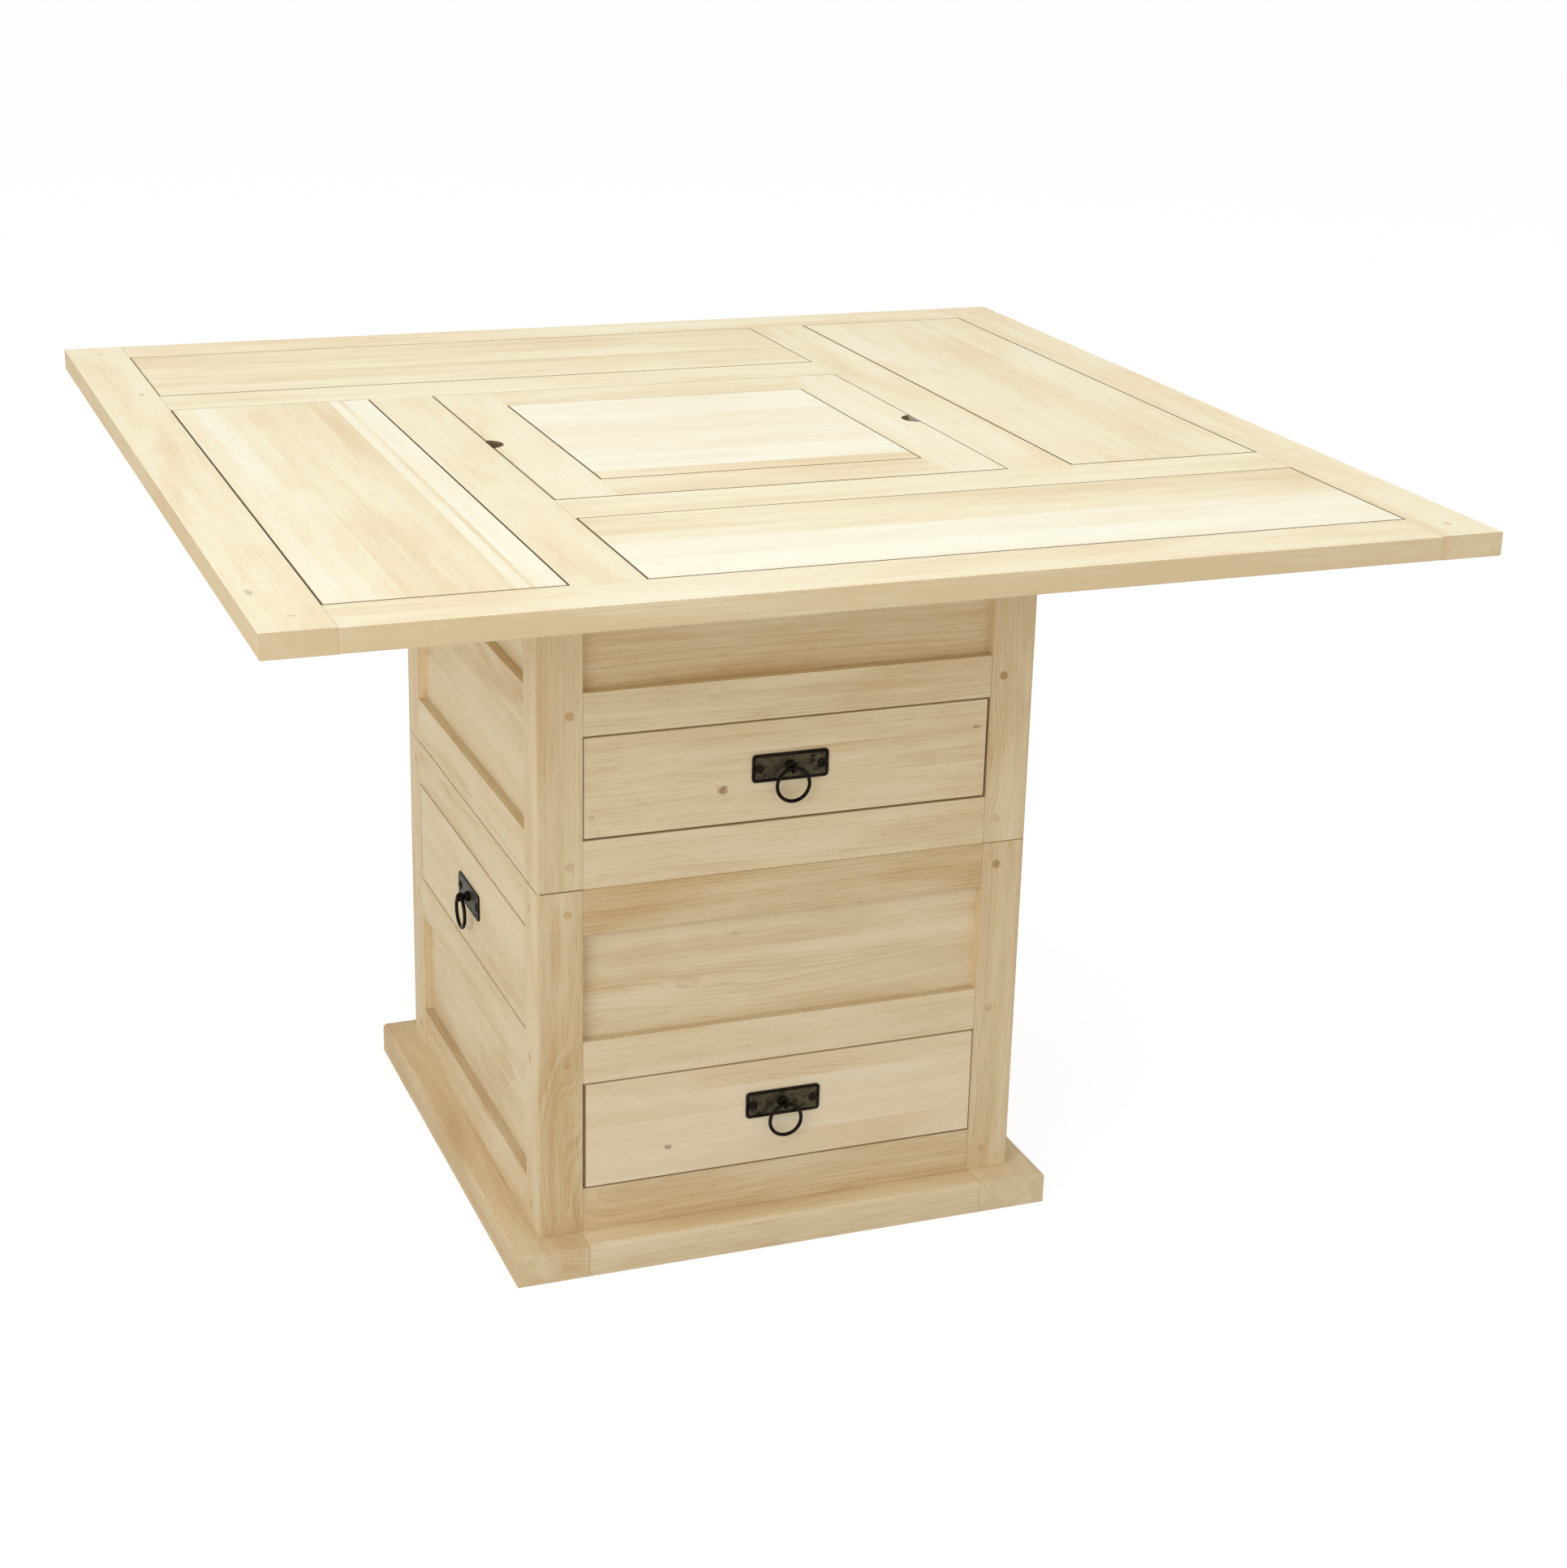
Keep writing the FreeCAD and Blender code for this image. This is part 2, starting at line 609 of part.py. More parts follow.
# The lid, with a finger notch in its left and right edges.
lid_section = ("sizes.lid_rail_width", "sizes.top_thickness", TOP_MIDDLE, "sizes.top_tongue")
lid_frame = (LID_SIDE, *lid_section, None, None)
for turns, name in ((0, "left"), (2, "right")):
    rail = frame_side_rail(f"lid_{name}_rail", turns, *lid_frame)
    notch_place = (f"-({LID_SIDE} / 2 + sizes.notch_offset)", CENTRE, TOP_MIDDLE)
    notch_length = "2 * sizes.top_thickness"
    drum(rail, f"lid_{name}_notch", "sizes.notch_radius", notch_length, notch_place, kind="Pocket")
    keep(rail)
for turns, name in ((0, "front"), (2, "back")):
    keep(frame_cross_rail(f"lid_{name}_rail", turns, *lid_frame))
field_side = f"({LID_SIDE} - 2 * sizes.lid_rail_width)"
lid_field = ("sizes.top_tongue", "sizes.top_panel_thickness", FIELD_MIDDLE)
keep(grooved_board("lid_panel", 0, (field_side, field_side), (CENTRE, CENTRE, TOP_MIDDLE), *lid_field))


# Drawers and their ring pulls, drawn on the front side.
def plate_corners(middle, run, box):
    """The four short arrises at a plate's corners."""
    return near(abs(run.y), box.YLength)


def plate_face_edges(middle, run, box):
    """The arrises round a plate's outer face."""
    return near(middle.y, box.YMin)


def round_edges(middle, run, box):
    """The arrises that close on themselves."""
    return near(run.Length, 0)


def build_drawer(drawer, turns, low, high, shift, rise):
    """A drawer with a flush front, a lapped box and a grooved bottom, and its pull."""
    face = f"-{FACE}"
    inside = f"-({FACE} - sizes.drawer_front_thickness)"
    end = f"-({FACE} - sizes.drawer_depth)"
    width = f"({OPENING} - 2 * sizes.drawer_gap)"
    height = f"(({high}) - ({low}) - 2 * sizes.drawer_gap)"
    wall_low = f"({low} + sizes.drawer_foot)"
    wall_high = f"({high} - sizes.drawer_gap - sizes.drawer_wall_drop)"
    wall_height = f"({wall_high} - {wall_low})"
    wall_middle = half_sum(wall_low, wall_high)
    wall_start = f"({inside} - sizes.drawer_lap)"
    wall_length = f"({end} - {wall_start})"
    bottom_low = f"({wall_low} + sizes.drawer_bottom_rise)"
    bottom_high = f"({bottom_low} + sizes.drawer_bottom_thickness)"
    bottom_middle = half_sum(bottom_low, bottom_high)
    inner_width = f"({width} - 2 * sizes.drawer_wall)"
    pull_z = f"({half_sum(low, high)} + {rise})"

    front = new_body(f"{drawer}_front", turns)
    board_place = (shift, half_sum(face, inside), half_sum(low, high))
    board_size = (width, "sizes.drawer_front_thickness", height)
    block(front, f"{drawer}_front_board", board_size, board_place, along="Y")
    walls = []
    for name, sign in (("a", "-"), ("b", "+")):
        lap_x = f"{shift} {sign} ({width} / 2 - sizes.drawer_wall / 2)"
        lap_size = ("sizes.drawer_wall", "sizes.drawer_lap", wall_height)
        lap_place = (lap_x, f"{inside} - sizes.drawer_lap / 2", wall_middle)
        slot(front, f"{drawer}_front_lap_{name}", lap_size, lap_place)
        wall = new_body(f"{drawer}_wall_{name}", turns)
        wall_size = ("sizes.drawer_wall", wall_length, wall_height)
        wall_place = (lap_x, half_sum(wall_start, end), wall_middle)
        block(wall, f"{drawer}_wall_{name}_board", wall_size, wall_place, along="Y")
        groove_x = f"{shift} {sign} ({inner_width} / 2 + sizes.drawer_bottom_groove / 2)"
        groove_size = ("sizes.drawer_bottom_groove", wall_length, "sizes.drawer_bottom_thickness")
        groove_place = (groove_x, half_sum(wall_start, end), bottom_middle)
        slot(wall, f"{drawer}_wall_{name}_groove", groove_size, groove_place, "Y")
        walls.append(wall)
    groove_size = (inner_width, "sizes.drawer_bottom_groove", "sizes.drawer_bottom_thickness")
    groove_place = (shift, f"{inside} - sizes.drawer_bottom_groove / 2", bottom_middle)
    slot(front, f"{drawer}_front_groove", groove_size, groove_place, "X")
    hole_place = (shift, half_sum(face, inside), pull_z)
    hole_radius = "sizes.shank_radius + sizes.shank_play"
    hole_length = "2 * sizes.drawer_front_thickness"
    drum(front, f"{drawer}_front_hole", hole_radius, hole_length, hole_place, "Y", "Pocket")
    keep(front)

    back = new_body(f"{drawer}_back", turns)
    back_size = (inner_width, "sizes.drawer_wall", f"({wall_high} - {bottom_high})")
    back_place = (shift, f"{end} - sizes.drawer_wall / 2", half_sum(bottom_high, wall_high))
    block(back, f"{drawer}_back_board", back_size, back_place, along="X")
    walls.append(back)
    keep_group(f"{drawer}_box", walls)

    bottom = new_body(f"{drawer}_bottom", turns)
    reach = "(sizes.drawer_bottom_groove - sizes.drawer_bottom_play)"
    bottom_start = f"({inside} - {reach})"
    bottom_width = f"{inner_width} + 2 * {reach}"
    bottom_size = (bottom_width, f"({end} - {bottom_start})", "sizes.drawer_bottom_thickness")
    bottom_place = (shift, half_sum(bottom_start, end), bottom_middle)
    block(bottom, f"{drawer}_bottom_board", bottom_size, bottom_place)
    keep(bottom)
    build_pull(drawer, turns, shift, face, inside, pull_z)


def build_pull(drawer, turns, shift, face, inside, pull_z):
    """A bevelled plate, an eye bolted through the drawer front and a ring hanging in the eye."""
    plate = new_body(f"{drawer}_pull_plate", turns)
    plate_size = ("sizes.plate_width", "sizes.plate_thickness", "sizes.plate_height")
    plate_place = (shift, f"{face} - sizes.plate_thickness / 2", pull_z)
    block(plate, f"{drawer}_plate_sheet", plate_size, plate_place, along="Y")
    dress(plate, "Fillet", f"{drawer}_plate_round", "Radius", "sizes.plate_corner", plate_corners)
    dress(plate, "Chamfer", f"{drawer}_plate_bevel", "Size", "sizes.plate_bevel", plate_face_edges)
    hole_radius = "sizes.shank_radius + sizes.shank_play"
    hole_length = "4 * sizes.plate_thickness"
    drum(plate, f"{drawer}_plate_hole", hole_radius, hole_length, plate_place, "Y", "Pocket")
    keep(plate)

    eye = new_body(f"{drawer}_pull_eye", turns)
    eye_y = f"({face} - sizes.eye_reach)"
    hole_radius = "(sizes.ring_wire / 2 + sizes.eye_play)"
    eye_place = (shift, eye_y, pull_z)
    drum(eye, f"{drawer}_eye_loop", f"{hole_radius} + sizes.eye_wire", "sizes.eye_wire", eye_place, "X")
    drum(eye, f"{drawer}_eye_hole", hole_radius, "2 * sizes.eye_wire", eye_place, "X", "Pocket")
    shank_start = f"({eye_y} + {hole_radius} + sizes.eye_wire / 2)"
    shank_end = f"({inside} + sizes.nut_thickness)"
    shank_place = (shift, half_sum(shank_start, shank_end), pull_z)
    shank_length = f"({shank_end} - {shank_start})"
    drum(eye, f"{drawer}_eye_shank", "sizes.shank_radius", shank_length, shank_place, "Y")
    nut_place = (shift, f"{inside} + sizes.nut_thickness / 2", pull_z)
    drum(eye, f"{drawer}_eye_nut", "sizes.nut_radius", "sizes.nut_thickness", nut_place, "Y")
    keep(eye)

    ring = new_body(f"{drawer}_pull_ring", turns)
    ring_place = (shift, eye_y, f"{pull_z} - sizes.ring_radius")
    outer_radius = "sizes.ring_radius + sizes.ring_wire / 2"
    inner_radius = "sizes.ring_radius - sizes.ring_wire / 2"
    drum(ring, f"{drawer}_ring_disc", outer_radius, "sizes.ring_wire", ring_place, "Y")
    drum(ring, f"{drawer}_ring_hole", inner_radius, "2 * sizes.ring_wire", ring_place, "Y", "Pocket")
    eight_sided = "sizes.ring_wire * (1 - sqrt(2) / 2)"
    dress(ring, "Chamfer", f"{drawer}_ring_flats", "Size", eight_sided, round_edges)
    keep(ring)


DRAWERS = (
    ("upper_drawer", "front", UPPER["low_bay"]),
    ("lower_drawer", "front", LOWER["low_bay"]),
    ("left_drawer", "left", LOWER["high_bay"]),
)
for drawer, side, bay in DRAWERS:
    pull_rise = "sizes." + drawer.replace("drawer", "pull_rise")
    build_drawer(drawer, SIDES.index(side), *bay, f"sizes.{drawer}_shift", pull_rise)

# Everything is checked before anything is written.
doc.recompute()
for item in doc.Objects:
    if "Invalid" in item.State or "Error" in item.State:
        raise RuntimeError(f"{item.Label} failed to build")
for node in nodes:
    if node.Shape.isNull() or not node.Shape.isValid() or not node.Shape.Solids:
        raise RuntimeError(f"{node.Label} has no sound solid")

os.makedirs("parts", exist_ok=True)
for node in nodes:
    node.Shape.exportStep(os.path.join("parts", node.Label + ".step"))
print(len(nodes), "sub-parts written")
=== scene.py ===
"""Looks of a square wooden table on two stacked cases, with three drawers and a lift-out lid.

Each solid of the frame is copied, its arrises are eased and it gets its own run of grain. The ring
pulls, pegs, light and camera are then made around the boards.
"""
import itertools
import json
import logging
import math
import random
from collections.abc import Callable, Iterable, Iterator
from contextlib import contextmanager
from dataclasses import dataclass, field
from enum import Enum

import bpy
import numpy as np
from mathutils import Euler, Matrix, Vector

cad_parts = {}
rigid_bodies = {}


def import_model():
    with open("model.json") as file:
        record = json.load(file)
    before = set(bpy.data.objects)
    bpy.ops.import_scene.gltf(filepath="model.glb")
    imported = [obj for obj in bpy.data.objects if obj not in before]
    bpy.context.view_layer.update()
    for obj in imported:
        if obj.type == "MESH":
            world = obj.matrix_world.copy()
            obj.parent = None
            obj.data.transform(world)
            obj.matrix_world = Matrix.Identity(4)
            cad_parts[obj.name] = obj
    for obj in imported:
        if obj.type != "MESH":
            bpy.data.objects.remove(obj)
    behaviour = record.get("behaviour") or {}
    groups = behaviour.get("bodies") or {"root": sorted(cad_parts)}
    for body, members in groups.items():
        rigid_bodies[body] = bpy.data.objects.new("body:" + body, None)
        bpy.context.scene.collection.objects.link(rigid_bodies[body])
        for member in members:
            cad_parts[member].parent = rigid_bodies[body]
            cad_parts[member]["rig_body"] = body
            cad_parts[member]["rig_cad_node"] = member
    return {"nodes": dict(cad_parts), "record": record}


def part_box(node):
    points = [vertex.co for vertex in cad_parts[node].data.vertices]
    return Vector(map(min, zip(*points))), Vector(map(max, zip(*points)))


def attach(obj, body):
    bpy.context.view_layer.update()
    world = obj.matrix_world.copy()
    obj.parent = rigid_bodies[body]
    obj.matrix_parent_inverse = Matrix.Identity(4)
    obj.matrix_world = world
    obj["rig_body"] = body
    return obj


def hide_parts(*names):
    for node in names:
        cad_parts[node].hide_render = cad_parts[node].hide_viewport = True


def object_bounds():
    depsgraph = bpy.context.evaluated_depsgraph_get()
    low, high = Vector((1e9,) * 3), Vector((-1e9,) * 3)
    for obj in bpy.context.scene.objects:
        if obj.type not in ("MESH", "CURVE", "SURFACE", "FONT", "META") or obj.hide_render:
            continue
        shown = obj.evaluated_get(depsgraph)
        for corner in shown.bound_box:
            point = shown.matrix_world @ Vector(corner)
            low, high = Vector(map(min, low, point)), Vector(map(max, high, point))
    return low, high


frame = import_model()
CAD_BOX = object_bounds()

LOG = logging.getLogger("table")
MM = 0.001
UP = Vector((0, 0, 1))
FRONT = Vector((0, -1, 0))
LEFT = Vector((-1, 0, 0))

# Cosines that tell how far a face is turned from a direction
SQUARELY = 0.999
FLATLY = 0.95
NEARLY = 0.9
MOSTLY = 0.8
HALFWAY = 0.5
PARTLY = 0.3
BARELY = 0.2

# Edges sharper than this are eased, in this many steps, or stay sharp where faces are smoothed
SHARP = math.radians(40)
EASE_STEPS = 2

Colour = tuple[float, float, float, float]
Place = tuple[float, float, float]
Span = tuple[float, float]
Piece = bpy.types.Object
Face = bpy.types.MeshPolygon
FaceTest = Callable[[Face], bool]
Material = bpy.types.Material
Node = bpy.types.Node
Socket = bpy.types.NodeSocket
Tree = bpy.types.NodeTree


class Grain(Enum):
    """The way that the fibres of a board run."""

    SIDEWAYS = 0
    DEPTHWAYS = 1
    UPRIGHT = 2
    LONGEST = 3


class Cut(Enum):
    """How a board was sawn from the log."""

    FLAT = "flat"
    RIFT = "rift"


class Tint(Enum):
    """The parts of a face's tint."""

    TONE = 0
    BLUSH = 1
    # Dust on the pegs, and painted shade in gaps, seams, notches, opening walls and on ledges
    SOIL = 2


class Slot(Enum):
    """The record's material slots."""

    TOP = "top_wood"
    CASE = "case_wood"
    INNER = "inner_wood"
    IRON = "dark_metal"


def shade(red: float, green: float, blue: float) -> Colour:
    """Turns a colour as seen on a screen, 0 to 255, into light values.

    Args:
        red: Red share.
        green: Green share.
        blue: Blue share.

    Returns:
        The colour that a shader socket takes.
    """
    top, knee, slope, offset, power = 255.0, 0.04045, 12.92, 0.055, 2.4
    parts = (value / top for value in (red, green, blue))
    light = [v / slope if v <= knee else ((v + offset) / (1 + offset)) ** power for v in parts]
    return (*light, 1.0)


def grey(light: float) -> Colour:
    """Gives a plain grey of one light value."""
    return (light, light, light, 1.0)


# Bench work with Blender's own tools

def put_down() -> None:
    """Leaves nothing selected."""
    bpy.ops.object.select_all(action="DESELECT")


def take_up(*pieces: Piece) -> None:
    """Selects these pieces alone and makes the first one active.

    Args:
        pieces: The pieces, at least one.
    """
    put_down()
    for piece in pieces:
        piece.select_set(True)
    bpy.context.view_layer.objects.active = pieces[0]


@contextmanager
def edit_mesh(piece: Piece, mode: str = "FACE") -> Iterator[None]:
    """Opens one piece in edit mode with all of its mesh selected.

    Args:
        piece: The piece to open.
        mode: The kind of element that is selected, VERT, EDGE or FACE.
    """
    take_up(piece)
    bpy.ops.object.mode_set(mode="EDIT")
    bpy.ops.mesh.select_mode(type=mode)
    bpy.ops.mesh.select_all(action="SELECT")
    yield
    bpy.ops.object.mode_set(mode="OBJECT")


@contextmanager
def picking() -> Iterator[None]:
    """Leaves edit mode with nothing selected, so that elements can be marked, and goes back to it."""
    bpy.ops.mesh.select_all(action="DESELECT")
    bpy.ops.object.mode_set(mode="OBJECT")
    yield
    bpy.ops.object.mode_set(mode="EDIT")


def pick_faces(piece: Piece, wanted: FaceTest) -> None:
    """Selects the faces of a piece that pass a test, for the edit that follows.

    Args:
        piece: The piece, in edit mode.
        wanted: Tells whether a face belongs to the choice.
    """
    with picking():
        for face in piece.data.polygons:
            face.select = wanted(face)


def pick_edges(piece: Piece, wanted: Callable[[Vector, Vector], bool]) -> None:
    """Selects the edges of a piece whose two ends pass a test, for the edit that follows.

    Args:
        piece: The piece, in edit mode.
        wanted: Tells whether an edge between two places belongs to the choice.
    """
    with picking():
        points = [vertex.co for vertex in piece.data.vertices]
        for edge in piece.data.edges:
            edge.select = wanted(*(points[index] for index in edge.vertices))


def apply_modifier(piece: Piece, kind: str, **settings: object) -> None:
    """Adds a modifier, sets it up and applies it.

    Args:
        piece: The piece to change.
        kind: Blender's name of the modifier type.
        settings: Values of the modifier.
    """
    take_up(piece)
    bpy.ops.object.modifier_add(type=kind)
    modifier = piece.modifiers[-1]
    for name, value in settings.items():
        setattr(modifier, name, value)
    bpy.ops.object.modifier_apply(modifier=modifier.name)


def ease_arrises(piece: Piece, width: float) -> None:
    """Takes the sharpness off all the edges of a piece, to the given width."""
    apply_modifier(piece, "BEVEL", width=width, segments=EASE_STEPS, limit_method="ANGLE",
                   angle_limit=SHARP, use_clamp_overlap=False)


def ease_corners(piece: Piece, width: float) -> None:
    """Takes the sharpness off the outer edges alone, for boards full of mortises and grooves.

    Args:
        piece: The piece.
        width: Width of the eased edge.
    """
    near = 0.1 * MM
    corners = [Vector(corner) for corner in piece.bound_box]
    planes = [{corner[axis] for corner in corners} for axis in range(3)]

    def is_outer(start: Vector, end: Vector) -> bool:
        """Tells whether an edge lies where two outer faces meet."""
        return sum(any(abs(start[axis] - plane) + abs(end[axis] - plane) < near for plane in planes[axis])
                   for axis in range(3)) > 1

    with edit_mesh(piece, "EDGE"):
        pick_edges(piece, is_outer)
        bpy.ops.mesh.bevel(offset=width, segments=EASE_STEPS, affect="EDGES", clamp_overlap=False)


def number_solids(mesh: bpy.types.Mesh) -> list[int]:
    """Numbers the solid that each triangle of a node belongs to.

    The triangles come solid by solid, and a solid ends where its surface closes, which is where
    every edge has met its own reverse.

    Args:
        mesh: The node's loose triangles.

    Returns:
        The number of the solid for each triangle, from nought.
    """
    digits = 6
    places = [tuple(round(part, digits) for part in vertex.co) for vertex in mesh.vertices]
    numbers, open_edges, number = [], set(), 0
    for face in mesh.polygons:
        ring = [places[index] for index in face.vertices]
        for edge in zip(ring, ring[1:] + ring[:1]):
            if edge[::-1] in open_edges:
                open_edges.remove(edge[::-1])
            elif edge[0] != edge[1]:
                open_edges.add(edge)
        numbers.append(number)
        if not open_edges:
            number += 1
    return numbers


def solid_boxes(node: str) -> list[tuple[Vector, Vector]]:
    """Gives the lowest and highest corner of each solid of a node.

    Args:
        node: Name of the node.

    Returns:
        A pair of corners for each solid.
    """
    mesh = frame["nodes"][node].data
    points: dict[int, list[Vector]] = {}
    for face, number in zip(mesh.polygons, number_solids(mesh)):
        points.setdefault(number, []).extend(mesh.vertices[index].co for index in face.vertices)
    return [(Vector(map(min, zip(*group))), Vector(map(max, zip(*group)))) for group in points.values()]


def copy_solids(node: str) -> list[Piece]:
    """Copies a node of the frame as separate, welded solids with flat faces.

    Args:
        node: Name of the node.

    Returns:
        The solids, from the floor up, then front to back, then left to right.
    """
    weld, flat = 0.002 * MM, math.radians(0.4)
    take_up(frame["nodes"][node])
    bpy.ops.object.duplicate()
    piece = bpy.context.active_object
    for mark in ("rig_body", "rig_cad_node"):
        if mark in piece:
            del piece[mark]
    bpy.ops.object.parent_clear(type="CLEAR_KEEP_TRANSFORM")
    piece.data.materials.clear()
    bpy.ops.mesh.customdata_custom_splitnormals_clear()

    numbers = number_solids(piece.data)
    solids = [piece]
    for number in range(numbers[-1], 0, -1):
        with edit_mesh(piece):
            pick_faces(piece, lambda face: numbers[face.index] == number)
            bpy.ops.mesh.separate(type="SELECTED")
        solids += [other for other in bpy.context.selected_objects if other is not piece]
    for solid in solids:
        with edit_mesh(solid, "VERT"):
            bpy.ops.mesh.remove_doubles(threshold=weld)
            bpy.ops.mesh.dissolve_limited(angle_limit=flat)

    def order(solid: Piece) -> tuple[float, ...]:
        """Where a solid comes in the row, by the middle of its box to a millimetre."""
        middle = sum((Vector(corner) for corner in solid.bound_box), Vector()) / len(solid.bound_box)
        return tuple(round(middle[axis], 3) for axis in (2, 1, 0))

    return sorted(solids, key=order)


def join_pieces(parts: list[Piece], name: str) -> Piece:
    """Joins parts into one named piece.

    Args:
        parts: The parts, at least one.
        name: Name of the joined piece.

    Returns:
        The joined piece.
    """
    take_up(*parts)
    if len(parts) > 1:
        bpy.ops.object.join()
    piece = bpy.context.active_object
    piece.name = name
    piece.data.name = name
    return piece


def smooth_faces(piece: Piece, angle: float = SHARP) -> None:
    """Shades the round parts smooth and keeps the flats flat.

    Args:
        piece: The piece to shade.
        angle: Edges sharper than this stay sharp.
    """
    take_up(piece)
    bpy.ops.object.shade_smooth_by_angle(angle=angle)
    apply_modifier(piece, "WEIGHTED_NORMAL", mode="FACE_AREA", keep_sharp=True)


def turn_to(axis: Vector) -> Euler:
    """Gives the turn from upright to another axis."""
    return UP.rotation_difference(axis).to_euler()


def set_in_place() -> Piece:
    """Puts the place of the primitive that was just added into its mesh."""
    bpy.ops.object.transform_apply(location=True, rotation=True, scale=True)
    return bpy.context.active_object


def add_cylinder(radius: float, length: float, place: Vector, axis: Vector, sides: int = 20) -> Piece:
    """Starts a round piece from a cylinder with its place in its mesh.

    Args:
        radius: Radius in metres.
        length: Length along the axis.
        place: Middle of the cylinder.
        axis: Direction of the axis.
        sides: Number of flats round it.

    Returns:
        The new piece.
    """
    put_down()
    bpy.ops.mesh.primitive_cylinder_add(vertices=sides, radius=radius, depth=length,
                                        location=place, rotation=turn_to(axis))
    return set_in_place()


def add_block(low: Vector, high: Vector) -> Piece:
    """Starts a piece from a block with its place in its mesh.

    Args:
        low: Lowest corner.
        high: Highest corner.

    Returns:
        The new piece.
    """
    put_down()
    bpy.ops.mesh.primitive_cube_add(size=1, location=(low + high) / 2, scale=high - low)
    return set_in_place()


def read_values(items: bpy.types.bpy_prop_collection, name: str, width: int) -> np.ndarray:
    """Reads one property of many items at once.

    Args:
        items: The items.
        name: Name of the property.
        width: How many numbers it holds.

    Returns:
        One row for each item, or whole numbers where the width is one.
    """
    values = np.empty(len(items) * width, dtype=int if width == 1 else np.float32)
    items.foreach_get(name, values)
    return values if width == 1 else values.reshape(-1, width)


# Node work shared by the finishes

class NodeHand:
    """Places and links the nodes of one shader tree."""

    def __init__(self, tree: Tree) -> None:
        """Takes the tree to work in."""
        self.tree = tree

    def feed(self, socket: Socket, value: object) -> None:
        """Links an input to another socket, or sets its value.

        Args:
            socket: The input.
            value: A socket or a plain value.
        """
        if isinstance(value, Socket):
            self.tree.links.new(value, socket)
        else:
            socket.default_value = value

    def fill(self, node: Node, inputs: dict[str, object]) -> Node:
        """Feeds the inputs of a node by name.

        Args:
            node: The node.
            inputs: Values or sockets by the names of the inputs.

        Returns:
            The same node.
        """
        for name, value in inputs.items():
            self.feed(node.inputs[name], value)
        return node

    def place(self, kind: str, *inputs: object, **settings: object) -> Node:
        """Adds a node.

        Args:
            kind: Type of the node, without its prefix.
            inputs: Values or sockets for its inputs, in order.
            settings: Properties of the node.

        Returns:
            The new node.
        """
        node = self.tree.nodes.new("ShaderNode" + kind)
        for name, value in settings.items():
            setattr(node, name, value)
        for socket, value in zip(node.inputs, inputs):
            self.feed(socket, value)
        return node

    def math(self, operation: str, *inputs: object) -> Socket:
        """Works out one number from others."""
        return self.place("Math", *inputs, operation=operation).outputs[0]

    def scaled(self, value: Socket, factor: float) -> Socket:
        """Multiplies a number."""
        return self.math("MULTIPLY", value, factor)

    def total(self, *terms: object) -> Socket:
        """Adds up several numbers.

        Args:
            terms: The numbers or sockets, at least two.

        Returns:
            The sum.
        """
        result = terms[0]
        for term in terms[1:]:
            result = self.math("ADD", result, term)
        return result

    def vector(self, operation: str, *inputs: object) -> Socket:
        """Works out one vector from others."""
        return self.place("VectorMath", *inputs, operation=operation).outputs["Vector"]

    def measure(self, operation: str, *inputs: object) -> Socket:
        """Works out one number from vectors."""
        return self.place("VectorMath", *inputs, operation=operation).outputs["Value"]

    def attribute(self, name: str, output: str) -> Socket:
        """Reads an attribute of the piece."""
        return self.place("Attribute", attribute_name=name).outputs[output]

    def noise(self, vector: Socket, scale: Place, detail: float, rough: float = 0.5,
              distortion: float = 0.0) -> Node:
        """Adds a cloud of soft values about a half.

        Args:
            vector: Where the cloud is read.
            scale: How often it changes in a metre, along each axis.
            detail: How many finer clouds lie on it.
            rough: How strong they are.
            distortion: How far the cloud is pulled about.

        Returns:
            The node, whose first output is the value.
        """
        node = self.place("TexNoise", self.vector("MULTIPLY", vector, scale))
        return self.fill(node, {"Scale": 1.0, "Detail": detail, "Roughness": rough,
                                "Distortion": distortion})

    def swing(self, value: Socket, reach: float) -> Socket:
        """Turns a value about a half into a swing about nought of the given reach."""
        return self.math("MULTIPLY_ADD", value, reach, -reach / 2)

    def ease(self, value: Socket, low: float, high: float) -> Socket:
        """Runs smoothly from nought at low to one at high."""
        return self.place("MapRange", value, low, high, 0.0, 1.0,
                          interpolation_type="SMOOTHSTEP").outputs[0]

    def blend(self, share: object, first: object, second: object, mode: str = "MIX") -> Socket:
        """Mixes two colours.

        Args:
            share: How much of the second colour.
            first: First colour or socket.
            second: Second colour or socket.
            mode: Way of mixing.

        Returns:
            The mixed colour.
        """
        first_colour, second_colour, mixed_colour = 6, 7, 2
        node = self.place("Mix", share, data_type="RGBA", blend_type=mode)
        self.feed(node.inputs[first_colour], first)
        self.feed(node.inputs[second_colour], second)
        return node.outputs[mixed_colour]

    def group(self, tree: Tree, **inputs: object) -> Node:
        """Places a shared group and feeds its inputs by name."""
        return self.fill(self.place("Group", node_tree=tree), inputs)

    def bump(self, height: Socket, strength: float, depth: float) -> Socket:
        """Turns a height into a normal, at a strength and for a depth in metres."""
        return self.fill(self.place("Bump"),
                         {"Strength": strength, "Distance": depth, "Height": height}).outputs[0]


